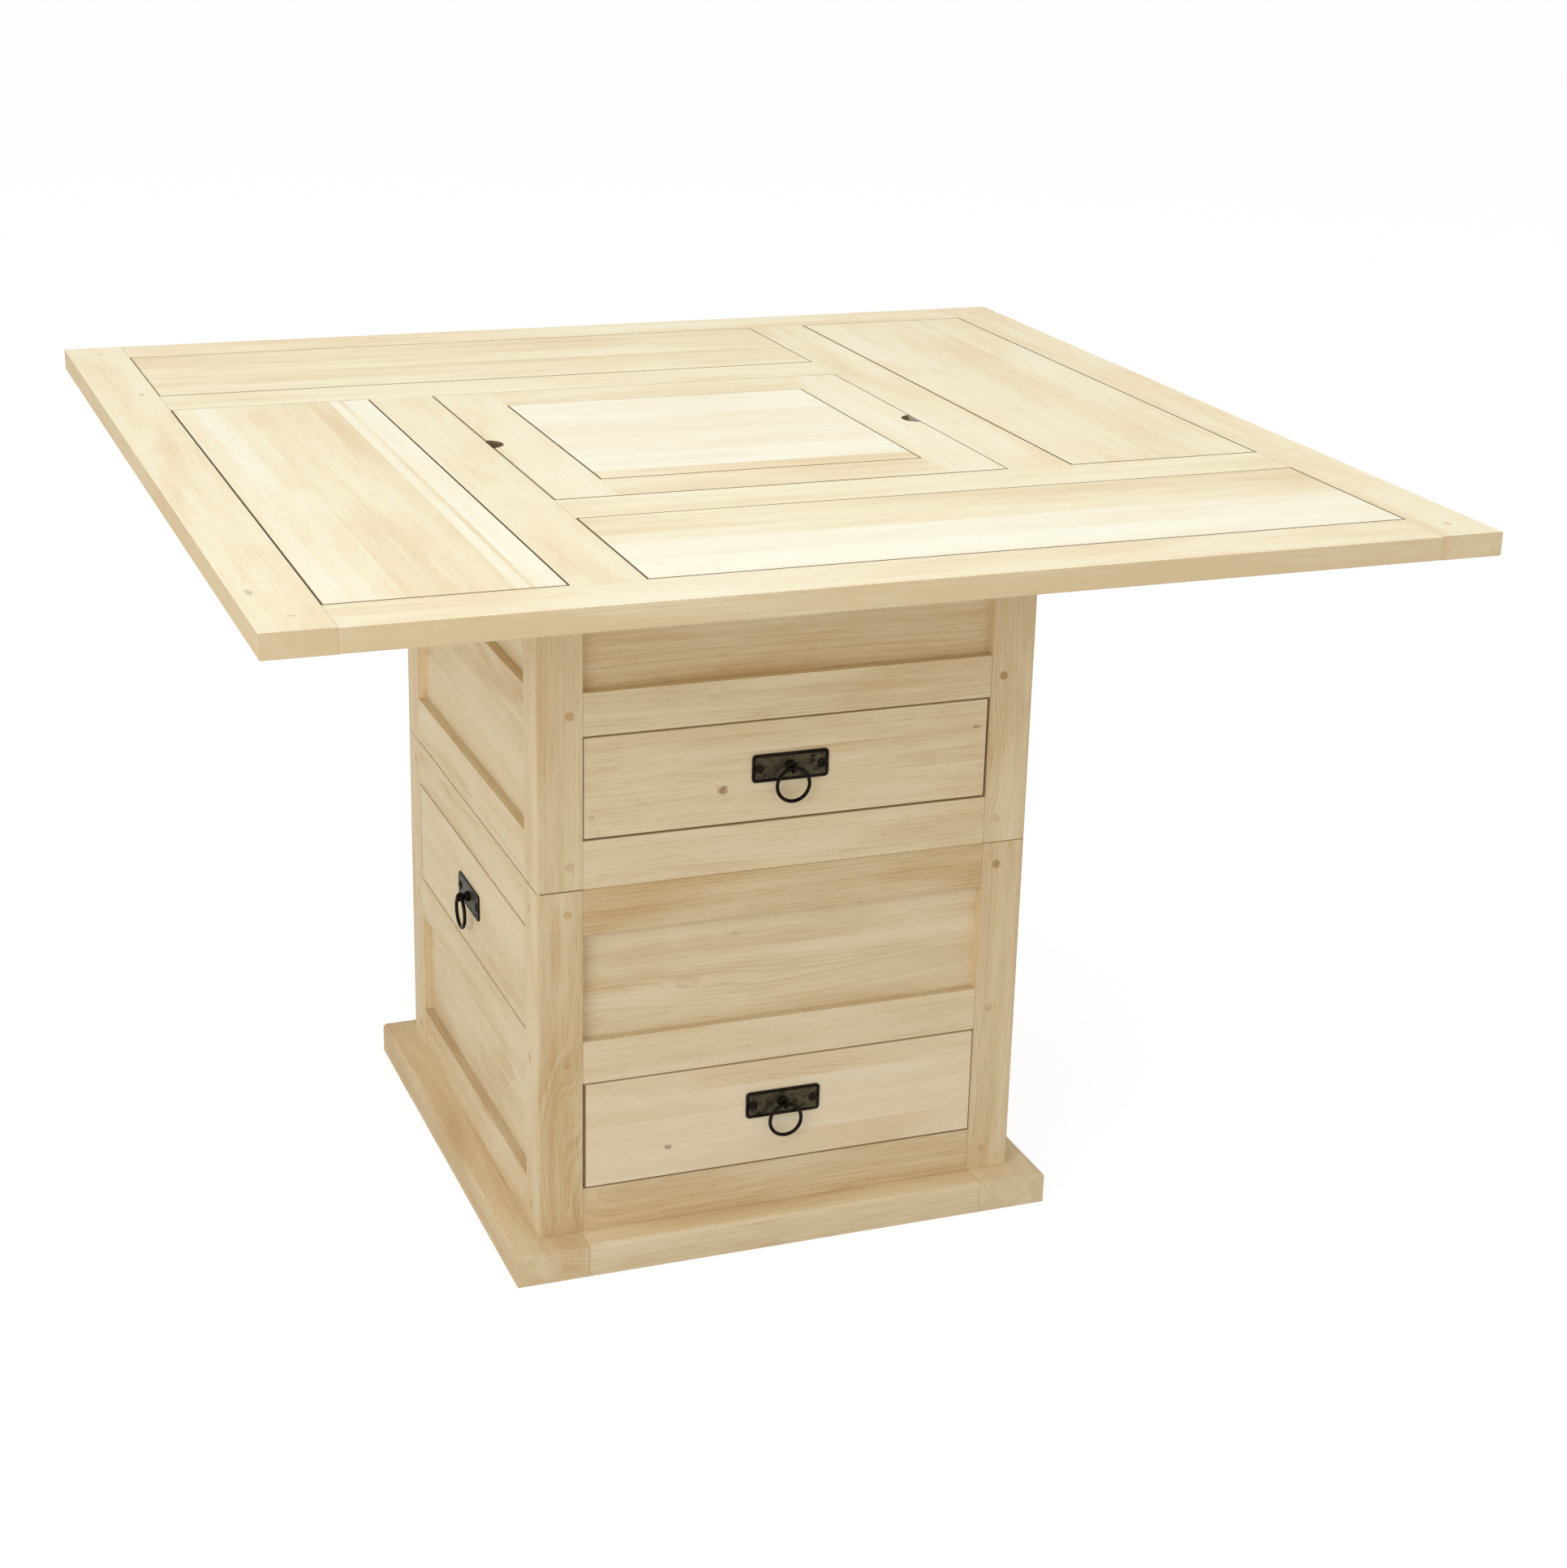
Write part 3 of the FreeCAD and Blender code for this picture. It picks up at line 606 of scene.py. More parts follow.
@dataclass
class NodeGroup:
    """A shared shader group with named inputs and outputs."""

    name: str
    inputs: dict[str, str]
    outputs: dict[str, str]
    tree: Tree = field(init=False)
    hand: NodeHand = field(init=False)
    given: Node = field(init=False)
    made: Node = field(init=False)

    def __post_init__(self) -> None:
        """Makes the empty group with its sockets."""
        self.tree = bpy.data.node_groups.new(self.name, "ShaderNodeTree")
        for way, sockets in (("INPUT", self.inputs), ("OUTPUT", self.outputs)):
            for label, kind in sockets.items():
                self.tree.interface.new_socket(name=label, in_out=way, socket_type="NodeSocket" + kind)
        self.hand = NodeHand(self.tree)
        self.given = self.tree.nodes.new("NodeGroupInput")
        self.made = self.tree.nodes.new("NodeGroupOutput")

    def put_out(self, **results: Socket) -> Tree:
        """Links the group's outputs and gives the finished tree."""
        self.hand.fill(self.made, results)
        return self.tree


@dataclass(frozen=True)
class SpotFigure:
    """The shared group that swells the rings round one spot and darkens its core."""

    core_edge: float = 0.16
    core_middle: float = 0.01
    tatter: float = 0.35
    tatter_scale: Place = (240.0, 240.0, 420.0)

    def make(self) -> Tree:
        """Makes the group.

        Returns:
            The node tree, with outputs Swell and Core.
        """
        group = NodeGroup("figure_spot", {"Place": "Vector", "Centre": "Vector", "Reach": "Vector"},
                          {"Swell": "Float", "Core": "Float"})
        hand, given = group.hand, group.given.outputs
        offset = hand.vector("SUBTRACT", given["Place"], given["Centre"])
        share = hand.vector("DIVIDE", offset, given["Reach"])
        square = hand.measure("DOT_PRODUCT", share, share)
        swell = hand.math("POWER", math.e, hand.scaled(square, -1.0))
        ragged = hand.noise(given["Place"], self.tatter_scale, 2.0, 0.6).outputs[0]
        torn = hand.total(square, hand.swing(ragged, self.tatter))
        core = hand.ease(torn, self.core_edge, self.core_middle)
        return group.put_out(Swell=swell, Core=core)


@dataclass(frozen=True)
class BoardFigure:
    """The shared group that gives a board its rings, streaks, fibres and pores.

    The grain attribute holds how far a point lies along the log and where it lies across the log,
    with the pith at nought, so faces, edges and ends all show the same rings. A scale is how often a
    cloud changes in a metre, along the log and across it. A share is how far a cloud deepens the colour.
    """

    waver_scale: Place = (1.7, 11.0, 11.0)
    waver_reach: Place = (0.0, 0.03, 0.03)
    uneven_scale: float = 0.37
    uneven_reach: float = 2.2
    late_rise: Span = (0.2, 0.9)
    late_fall: Span = (1.0, 0.92)
    late_mean: float = 0.33
    streak_scale: Place = (1.6, 48.0, 48.0)
    streak_share: float = 0.5
    cloud_scale: Place = (4.0, 17.0, 17.0)
    cloud_share: float = 0.7
    cloud_blush: float = 1.6
    fibre_scale: Place = (14.0, 520.0, 520.0)
    fibre_share: float = 0.27
    pore_scale: Place = (46.0, 900.0, 900.0)
    pore_edge: Span = (0.58, 0.72)
    pore_share: float = 0.16
    roughness: float = 0.7
    streak_roughness: float = 0.2
    fibre_roughness: float = 0.16
    fibre_height: float = 0.8
    late_height: float = -0.35
    pore_height: float = -0.6

    def draw_rings(self, hand: NodeHand, log_place: Socket, lift: Socket, ring: Socket) -> Socket:
        """Draws the late wood of the growth rings about the pith.

        Args:
            hand: The tree to work in.
            log_place: Where a point lies in its log.
            lift: How far the rings are pushed out.
            ring: Width of a ring.

        Returns:
            Nought in early wood, up to one in late wood.
        """
        radius = hand.measure("LENGTH", hand.vector("MULTIPLY", log_place, (0.0, 1.0, 1.0)))
        count = hand.math("DIVIDE", hand.total(radius, lift), ring)
        uneven = hand.fill(hand.place("TexNoise", noise_dimensions="1D"),
                           {"W": hand.scaled(count, self.uneven_scale), "Detail": 1.0}).outputs[0]
        phase = hand.math("FRACT", hand.total(count, hand.scaled(uneven, self.uneven_reach)))
        return hand.math("MULTIPLY", hand.ease(phase, *self.late_rise), hand.ease(phase, *self.late_fall))

    def make(self) -> Tree:
        """Makes the group.

        Returns:
            The node tree, with outputs Color, Roughness and Height.
        """
        group = NodeGroup(
            "board_figure",
            {"Grain": "Vector", "Tint": "Vector", "Lift": "Float", "Core": "Float", "Pale": "Color",
             "Mid": "Color", "Dark": "Color", "Blush": "Color", "Knot": "Color", "Soil": "Color",
             "Ring": "Float", "Figure": "Float"},
            {"Color": "Color", "Roughness": "Float", "Height": "Float"})
        hand, given = group.hand, group.given.outputs
        grain = given["Grain"]
        tint = hand.place("SeparateXYZ", given["Tint"]).outputs

        # Growth rings that waver slowly along the log, then streaks, flamed clouds, fibres and open pores
        waver = hand.noise(grain, self.waver_scale, 2.0).outputs["Color"]
        waver = hand.vector("SUBTRACT", waver, (0.5, 0.5, 0.5))
        bent = hand.vector("MULTIPLY_ADD", waver, self.waver_reach, grain)
        late = self.draw_rings(hand, bent, given["Lift"], given["Ring"])
        streak = hand.noise(bent, self.streak_scale, 3.0, 0.6).outputs[0]
        cloud = hand.noise(bent, self.cloud_scale, 3.0, 0.55, 0.7).outputs[0]
        fibre = hand.noise(grain, self.fibre_scale, 3.0, 0.6).outputs[0]
        pore = hand.ease(hand.noise(grain, self.pore_scale, 1.0).outputs[0], *self.pore_edge)

        # The depth runs from nought, pale, through a half to one, dark
        depth = hand.total(
            hand.math("MULTIPLY_ADD", tint[Tint.TONE.value], 0.5, 0.5),
            hand.math("MULTIPLY", hand.math("SUBTRACT", late, self.late_mean), given["Figure"]),
            hand.swing(streak, self.streak_share), hand.swing(cloud, self.cloud_share),
            hand.swing(fibre, self.fibre_share), hand.scaled(pore, self.pore_share))
        colour = hand.blend(hand.scaled(depth, 2.0), given["Pale"], given["Mid"])
        colour = hand.blend(hand.math("MULTIPLY_ADD", depth, 2.0, -1.0), colour, given["Dark"])
        warmth = hand.total(tint[Tint.BLUSH.value], hand.swing(cloud, self.cloud_blush))
        colour = hand.blend(warmth, colour, given["Blush"], "MULTIPLY")
        colour = hand.blend(given["Core"], colour, given["Knot"])
        # Dust on the pegs, and painted shade in gaps, seams, notches, opening walls and on ledges
        colour = hand.blend(tint[Tint.SOIL.value], colour, given["Soil"])

        rough = hand.total(self.roughness, hand.swing(streak, self.streak_roughness),
                           hand.swing(fibre, self.fibre_roughness))
        height = hand.total(hand.scaled(fibre, self.fibre_height), hand.scaled(late, self.late_height),
                            hand.scaled(pore, self.pore_height))
        return group.put_out(Color=colour, Roughness=rough, Height=height)


# Finishes

def start_material(name: str) -> tuple[Material, NodeHand, Node]:
    """Starts a material.

    Args:
        name: Name of the material.

    Returns:
        The material, a hand for its nodes and its surface shader.
    """
    material = bpy.data.materials.new(name)
    material.use_nodes = True
    return material, NodeHand(material.node_tree), material.node_tree.nodes["Principled BSDF"]


@dataclass(frozen=True)
class FigureSpot:
    """A place where the rings bulge, with a dark core if it is a knot.

    Attributes:
        centre: Place in the table's frame, in millimetres.
        reach: How far the bulge goes each way, in millimetres.
        lift: How far the rings are pushed out, in millimetres.
        core: How dark the core is, nought for clear wood.
    """

    centre: Place
    reach: Place
    lift: float
    core: float = 0.0


@dataclass(frozen=True)
class WoodFinish:
    """Raw pale hardwood, sanded and left matt."""

    name: str
    pale: Colour
    mid: Colour
    dark: Colour
    blush: Colour = (1.0, 0.93, 0.88, 1.0)
    knot: Colour = shade(132, 84, 44)
    # Colour of the dust on the pegs, and of the painted shade in gaps, seams, notches, opening walls and on
    # ledges
    dust_and_shade: Colour = shade(104, 76, 46)
    ring: float = 4.4 * MM
    figure: float = 0.2
    bump_strength: float = 0.35
    bump_depth: float = 0.25 * MM
    gloss: float = 0.2
    spots: tuple[FigureSpot, ...] = ()

    def make(self, board_group: Tree, spot_group: Tree) -> Material:
        """Makes the material.

        Args:
            board_group: The shared board figure.
            spot_group: The shared ring bulge.

        Returns:
            The finished material.
        """
        material, hand, surface = start_material(self.name)
        place = hand.place("TexCoord").outputs["Object"]
        lift, core = 0.0, 0.0
        for spot in self.spots:
            found = hand.group(spot_group, Place=place, Centre=tuple(v * MM for v in spot.centre),
                               Reach=tuple(v * MM for v in spot.reach)).outputs
            lift = hand.math("MULTIPLY_ADD", found["Swell"], spot.lift * MM, lift)
            core = hand.math("MULTIPLY_ADD", found["Core"], spot.core, core)
        board = hand.group(board_group, Grain=hand.attribute("grain", "Vector"),
                           Tint=hand.attribute("tint", "Vector"), Lift=lift, Core=core, Pale=self.pale,
                           Mid=self.mid, Dark=self.dark, Blush=self.blush, Knot=self.knot,
                           Soil=self.dust_and_shade, Ring=self.ring, Figure=self.figure).outputs
        bump = hand.bump(board["Height"], self.bump_strength, self.bump_depth)
        hand.fill(surface, {"Base Color": board["Color"], "Roughness": board["Roughness"], "Normal": bump,
                            "Specular IOR Level": self.gloss})
        return material


@dataclass(frozen=True)
class IronFinish:
    """Dark bronzed iron, mottled, with the brown showing where it is rubbed."""

    name: str = "bronzed_iron"
    black: Colour = shade(18, 14, 11)
    brown: Colour = shade(44, 36, 27)
    rubbed: Colour = shade(82, 75, 56)
    brown_edge: Span = (0.35, 0.7)
    rubbed_edge: Span = (0.2, 0.62)
    mottle_scale: Place = (170.0, 170.0, 170.0)
    grit_scale: Place = (1500.0, 1500.0, 1500.0)
    grit_height: float = 0.4
    roughness: float = 0.3
    mottle_roughness: float = 0.35
    metallic: float = 0.95
    bump_strength: float = 0.4
    bump_depth: float = 0.2 * MM

    def make(self) -> Material:
        """Makes the material.

        Returns:
            The finished material.
        """
        material, hand, surface = start_material(self.name)
        place = hand.place("TexCoord").outputs["Object"]
        mottle = hand.noise(place, self.mottle_scale, 4.0, 0.6).outputs[0]
        grit = hand.noise(place, self.grit_scale, 2.0).outputs[0]
        colour = hand.blend(hand.ease(mottle, *self.brown_edge), self.black, self.brown)
        share = hand.math("MULTIPLY", hand.attribute("rubbed", "Fac"), hand.ease(mottle, *self.rubbed_edge))
        colour = hand.blend(share, colour, self.rubbed)
        height = hand.total(mottle, hand.scaled(grit, self.grit_height))
        rough = hand.math("MULTIPLY_ADD", mottle, self.mottle_roughness, self.roughness)
        bump = hand.bump(height, self.bump_strength, self.bump_depth)
        hand.fill(surface, {"Base Color": colour, "Roughness": rough, "Normal": bump,
                            "Metallic": self.metallic})
        return material


def seen_directly(hand: NodeHand) -> Socket:
    """Gives one for rays from the camera, mirrors and glass, and nought for light.

    Args:
        hand: The tree to work in.

    Returns:
        The share.
    """
    path = hand.place("LightPath").outputs
    seen = hand.math("MAXIMUM", path["Is Camera Ray"], path["Is Glossy Ray"])
    return hand.math("MAXIMUM", seen, path["Is Transmission Ray"])


@dataclass(frozen=True)
class FloorFinish:
    """A white studio floor that is lit for the camera and still takes a shadow."""

    name: str = "studio_white"
    glow: float = 0.87
    film: float = 0.22
    bounce: float = 0.8

    def make(self) -> Material:
        """Makes the material.

        Returns:
            The finished material.
        """
        material, hand, surface = start_material(self.name)
        nodes = material.node_tree.nodes
        nodes.remove(surface)
        plain = hand.place("BsdfDiffuse", grey(self.bounce)).outputs[0]
        shaded = hand.place("BsdfDiffuse", grey(self.film)).outputs[0]
        white = hand.place("Emission", grey(1.0), self.glow).outputs[0]
        bright = hand.place("AddShader", shaded, white).outputs[0]
        mixed = hand.place("MixShader", seen_directly(hand), plain, bright).outputs[0]
        hand.fill(nodes["Material Output"], {"Surface": mixed})
        return material


TOP_WOOD = WoodFinish(
    "pale_top_wood", pale=shade(253, 251, 232), mid=shade(246, 235, 203), dark=shade(228, 205, 163),
    figure=0.11,
    spots=(
        FigureSpot((-518, 20, 758), (30, 170, 30), 12),
        FigureSpot((-536, -439, 758), (9, 26, 12), 6, 0.35),
        FigureSpot((-505, 300, 758), (8, 24, 12), 5, 0.3),
        FigureSpot((404, 90, 758), (44, 200, 30), 14),
        FigureSpot((-212, 532, 758), (22, 8, 12), 5, 0.4),
        FigureSpot((-100, -140, 758), (70, 14, 20), 8, 0.12)))
CASE_WOOD = WoodFinish(
    "case_wood", pale=shade(247, 236, 209), mid=shade(235, 216, 179), dark=shade(205, 173, 123),
    figure=0.13,
    spots=(
        FigureSpot((-68, -248, 475), (17, 30, 12), 7, 0.7),
        FigureSpot((191, -248, 512.7), (12, 30, 6), 5, 0.5),
        FigureSpot((-196, -248, 461.5), (12, 30, 6), 4, 0.25),
        FigureSpot((-117, -248, 111), (12, 30, 9), 5, 0.6),
        FigureSpot((-48, -238, 323.5), (22, 30, 7), 8, 0.18),
        FigureSpot((-100, -238, 275.3), (20, 30, 8), 6, 0.18),
        FigureSpot((-20, -238, 264), (110, 30, 22), 10),
        FigureSpot((90, -238, 290), (110, 30, 32), 8),
        FigureSpot((-225, -248, 110), (30, 40, 120), 9),
        FigureSpot((222, -248, 470), (18, 40, 70), 12),
        FigureSpot((120, -248, 160), (110, 40, 22), 9),
        FigureSpot((40, -248, 50), (200, 40, 24), 7)))
INNER_WOOD = WoodFinish(
    "inner_wood", pale=shade(244, 230, 200), mid=shade(231, 211, 172), dark=shade(207, 178, 132))


@dataclass
class Finishes:
    """All finishes of the table, made once."""

    made: dict[Slot, Material] = field(default_factory=dict)

    def make(self) -> None:
        """Makes a material for each slot."""
        board_group = BoardFigure().make()
        spot_group = SpotFigure().make()
        for slot, wood in ((Slot.TOP, TOP_WOOD), (Slot.CASE, CASE_WOOD), (Slot.INNER, INNER_WOOD)):
            self.made[slot] = wood.make(board_group, spot_group)
        self.made[Slot.IRON] = IronFinish().make()

    def dress(self, piece: Piece, slot: Slot) -> None:
        """Gives a piece the finish of a slot.

        Args:
            piece: The piece.
            slot: The slot.
        """
        piece.data.materials.clear()
        piece.data.materials.append(self.made[slot])


# Boards and their grain

@dataclass(frozen=True)
class Stave:
    """One strip of a glued-up board.

    Attributes:
        width: Width in millimetres; the last stave of a board takes what is left.
        tone: From -1, near white, to 1, tan.
        blush: Share of pink.
        cut: How it was sawn.
    """

    width: float
    tone: float
    blush: float = 0.0
    cut: Cut = Cut.RIFT


@dataclass(frozen=True)
class Log:
    """A log that staves are sawn from, with distances from its pith in millimetres.

    Attributes:
        half_length: Half of its length, in metres.
        flat_across: How far a flat-sawn stave may stand off the middle.
        flat_through: How far below or above the pith it lies.
        rift_across: How far to one side a rift-sawn stave stands.
        rift_through: How far above the pith it lies.
    """

    half_length: float = 6.0
    flat_across: Span = (-18, 18)
    flat_through: Span = (30, 60)
    rift_across: Span = (70, 130)
    rift_through: Span = (35, 80)

    def place(self, cut: Cut, dice: random.Random) -> Place:
        """Chooses where in the log a stave was sawn.

        Args:
            cut: How it was sawn.
            dice: Seeded chance.

        Returns:
            The shift along the log, across the board and through it, from the pith.
        """
        side = dice.choice((-1.0, 1.0))
        along = dice.uniform(-self.half_length, self.half_length)
        if cut is Cut.FLAT:
            return along, dice.uniform(*self.flat_across) * MM, side * dice.uniform(*self.flat_through) * MM
        return along, side * dice.uniform(*self.rift_across) * MM, dice.uniform(*self.rift_through) * MM


def saw_staves(part: Piece, cuts: Iterable[float], across: int, middle: np.ndarray) -> None:
    """Cuts the faces of a board along its glue lines.

    Args:
        part: The board.
        cuts: Places of the glue lines.
        across: Axis that the places are measured on.
        middle: Middle of the board.
    """
    normal = [0.0, 0.0, 0.0]
    normal[across] = 1.0
    for cut in cuts:
        place = list(middle)
        place[across] = cut
        with edit_mesh(part):
            bpy.ops.mesh.bisect(plane_co=place, plane_no=normal)


def lay_grain(part: Piece, way: Grain, strips: tuple[Stave, ...], dice: random.Random) -> None:
    """Writes where each corner of a board lies in its log, and the tint of each face.

    Args:
        part: The board.
        way: Which way its fibres run.
        strips: Its staves, from the low side.
        dice: Seeded chance.
    """
    digits = 4
    corners = np.array([tuple(corner) for corner in part.bound_box])
    low, high = corners.min(0), corners.max(0)
    span = np.round(high - low, digits)
    along = way.value if way is not Grain.LONGEST else int(np.argmax(span))
    across, through = sorted((axis for axis in range(3) if axis != along), key=lambda k: -span[k])
    cuts = low[across] + np.cumsum([strip.width for strip in strips])[:-1] * MM
    saw_staves(part, cuts, across, (low + high) / 2)

    mesh = part.data
    points = read_values(mesh.vertices, "co", 3)
    corner_point = read_values(mesh.loops, "vertex_index", 1)
    centres = read_values(mesh.polygons, "center", 3)
    corner_count = read_values(mesh.polygons, "loop_total", 1)
    strip_of_face = np.searchsorted(cuts, centres[:, across])
    strip_of_corner = np.repeat(strip_of_face, corner_count)

    bounds = np.concatenate(([low[across]], cuts, [high[across]]))
    middle = np.stack([np.zeros(len(strips)), (bounds[1:] + bounds[:-1]) / 2,
                       np.full(len(strips), (low[through] + high[through]) / 2)], 1)
    log = Log()
    shift = np.array([log.place(strip.cut, dice) for strip in strips])
    grain = points[corner_point][:, (along, across, through)] + (shift - middle)[strip_of_corner]
    tint = np.array([(strip.tone, strip.blush, 0.0) for strip in strips])[strip_of_face]
    for name, domain, values in (("grain", "CORNER", grain), ("tint", "FACE", tint)):
        layer = mesh.attributes.new(name, "FLOAT_VECTOR", domain)
        layer.data.foreach_set("vector", np.ascontiguousarray(values, dtype=np.float32).ravel())


def tint_faces(piece: Piece, part: Tint, share: float, wanted: FaceTest) -> None:
    """Adds to one part of the tint of the faces that pass a test.

    Args:
        piece: A piece with its grain laid.
        part: Which part of the tint.
        share: How much is added.
        wanted: Tells whether a face belongs to the choice.
    """
    layer = piece.data.attributes["tint"].data
    for face, entry in zip(piece.data.polygons, layer):
        if wanted(face):
            tint = Vector(entry.vector)
            tint[part.value] += share
            entry.vector = tint


def looks(face: Face, way: Vector, least: float = NEARLY) -> bool:
    """Tells whether a face looks one way, with at least the given cosine."""
    return face.normal.dot(way) > least


def is_side(face: Face) -> bool:
    """Tells whether a face stands upright."""
    return abs(face.normal.z) < HALFWAY


def is_edge(face: Face) -> bool:
    """Tells whether a face is a side or the eased edge next to it."""
    return abs(face.normal.z) < FLATLY


def is_eased(face: Face, outward: Vector) -> bool:
    """Tells whether a face is the eased edge round a face that looks outward."""
    return BARELY < face.normal.dot(outward) < FLATLY


def reach_of(face: Face) -> float:
    """Gives how far a face lies from the middle of the table, sideways or in depth."""
    return max(abs(face.center.x), abs(face.center.y))


def is_rim(face: Face) -> bool:
    """Tells whether a face lies on the outer edge of the top, to a millimetre."""
    return reach_of(face) > CAD_BOX[1].x - 1.0 * MM


@dataclass(frozen=True)
class PegSeat:
    """The seat of a peg in the face of the wood.

    Attributes:
        place: Where the axis of the peg meets the face.
        outward: Direction that the face looks in.
        tone: Tone of the peg.
        dust_and_shade: Dust on the peg.
    """

    place: Vector
    outward: Vector
    tone: float
    dust_and_shade: float = 0.0


@dataclass
class Board:
    """A node of the frame that is dressed as one or more wooden boards.

    Attributes:
        node: Name of the node.
        grain: Which way the fibres run.
        staves: Strips from the low side, the same for each solid of the node.
        tones: Tone of each solid from the floor up, front to back and left to right.
        arris: Width of the eased edge.
        mortised: Whether holes and grooves leave only the outer edges to ease.
        holes: Seats of pegs that are drilled into it.
        hole_radius: Radius of those holes.
        drill_length: Length of the drill, half of which goes in.
        chance_tones: Tones that a solid without a chosen one may have.
        most_blush: The most blush that chance gives.
    """

    node: str
    grain: Grain = Grain.LONGEST
    staves: tuple[Stave, ...] = ()
    tones: tuple[float, ...] = ()
    arris: float = 0.7 * MM
    mortised: bool = False
    holes: tuple[PegSeat, ...] = ()
    hole_radius: float = 3.5 * MM
    drill_length: float = 12 * MM
    chance_tones: Span = (-0.2, 0.25)
    most_blush: float = 0.25

    def build(self) -> Piece:
        """Copies the solids, eases their arrises and lays their grain.

        Returns:
            The dressed piece.
        """
        ease = ease_corners if self.mortised else ease_arrises
        parts = copy_solids(self.node)
        for index, part in enumerate(parts):
            self.drill(part)
            ease(part, self.arris)
            dice = random.Random(f"{self.node} {index}")
            lay_grain(part, self.grain, self.strips(index, dice), dice)
        piece = join_pieces(parts, self.node + "_wood")
        smooth_faces(piece)
        return piece

    def drill(self, part: Piece) -> None:
        """Drills the peg holes.

        Args:
            part: The board.
        """
        for hole in self.holes:
            drill = add_cylinder(self.hole_radius, self.drill_length, hole.place, hole.outward)
            apply_modifier(part, "BOOLEAN", operation="DIFFERENCE", solver="EXACT", object=drill)
            bpy.data.objects.remove(drill)

    def strips(self, index: int, dice: random.Random) -> tuple[Stave, ...]:
        """Chooses the staves of one solid.

        Args:
            index: Number of the solid in its node.
            dice: Seeded chance for what isn't chosen by hand.

        Returns:
            The staves, at least one.
        """
        if self.staves:
            return self.staves
        tone = self.tones[index] if index < len(self.tones) else dice.uniform(*self.chance_tones)
        blush = dice.uniform(0.0, self.most_blush)
        return (Stave(0.0, tone, blush, dice.choice((Cut.RIFT, Cut.RIFT, Cut.FLAT))),)


@dataclass
class Pegs:
    """Round wooden pegs, driven through the joints and cut off near the face.

    The crown rises inside a rim, whose width is a share of the radius.
    """

    radius: float = 4.2 * MM
    length: float = 8.0 * MM
    proud: float = 0.2 * MM
    crown: float = 0.15 * MM
    crown_share: float = 0.25
    blush: float = 0.3

    def build(self, name: str, seats: Iterable[PegSeat]) -> Piece:
        """Makes the pegs of one body.

        Args:
            name: Name of the piece.
            seats: Where the pegs go.

        Returns:
            All the pegs as one piece.
        """
        dice = random.Random(name)
        piece = join_pieces([self.make_peg(seat, dice) for seat in seats], name)
        smooth_faces(piece)
        return piece

    def make_peg(self, seat: PegSeat, dice: random.Random) -> Piece:
        """Shapes one peg with a low crown.

        Args:
            seat: Where it goes.
            dice: Seeded chance.

        Returns:
            The peg.
        """
        outward = seat.outward
        middle = seat.place + outward * (self.proud - self.length / 2)
        peg = add_cylinder(self.radius, self.length, middle, outward)
        with edit_mesh(peg):
            pick_faces(peg, lambda face: looks(face, outward))
            bpy.ops.mesh.inset(thickness=self.radius * self.crown_share)
            bpy.ops.transform.translate(value=outward * self.crown)
        along = max(range(3), key=lambda axis: abs(outward[axis]))
        lay_grain(peg, Grain(along), (Stave(0.0, seat.tone, self.blush),), dice)
        tint_faces(peg, Tint.SOIL, seat.dust_and_shade, lambda face: looks(face, outward, HALFWAY))
        return peg


# Sub-assemblies

@dataclass
class Assembly:
    """Pieces that ride on one body of the frame."""

    body: str
    finishes: Finishes

    @property
    def nodes(self) -> list[str]:
        """The frame's nodes on this body."""
        return frame["record"]["behaviour"]["bodies"][self.body]

    def settle(self, piece: Piece, slot: Slot, *nodes: str, body: str = "") -> None:
        """Dresses a piece, lets it stand for its nodes and rides it on a body.

        Args:
            piece: The finished piece.
            slot: Slot of its finish.
            nodes: Nodes of the frame that it stands for.
            body: Body that it rides on, if not the assembly's own.
        """
        self.finishes.dress(piece, slot)
        if nodes:
            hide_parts(*nodes)
        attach(piece, body or self.body)
        LOG.info("%s rides on %s with %d faces", piece.name, body or self.body, len(piece.data.polygons))

    def settle_boards(self, boards: Iterable[Board]) -> None:
        """Builds and settles boards in the slots that the record gives them.

        Args:
            boards: The boards.
        """
        slots = {entry["node"]: Slot(entry["material_slot"]) for entry in frame["record"]["subparts"]}
        for board in boards:
            piece = board.build()
            self.age(piece, board.node)
            self.settle(piece, slots[board.node], board.node)

    def age(self, piece: Piece, node: str) -> None:
        """Leaves the boards clean, unless the assembly shows age."""


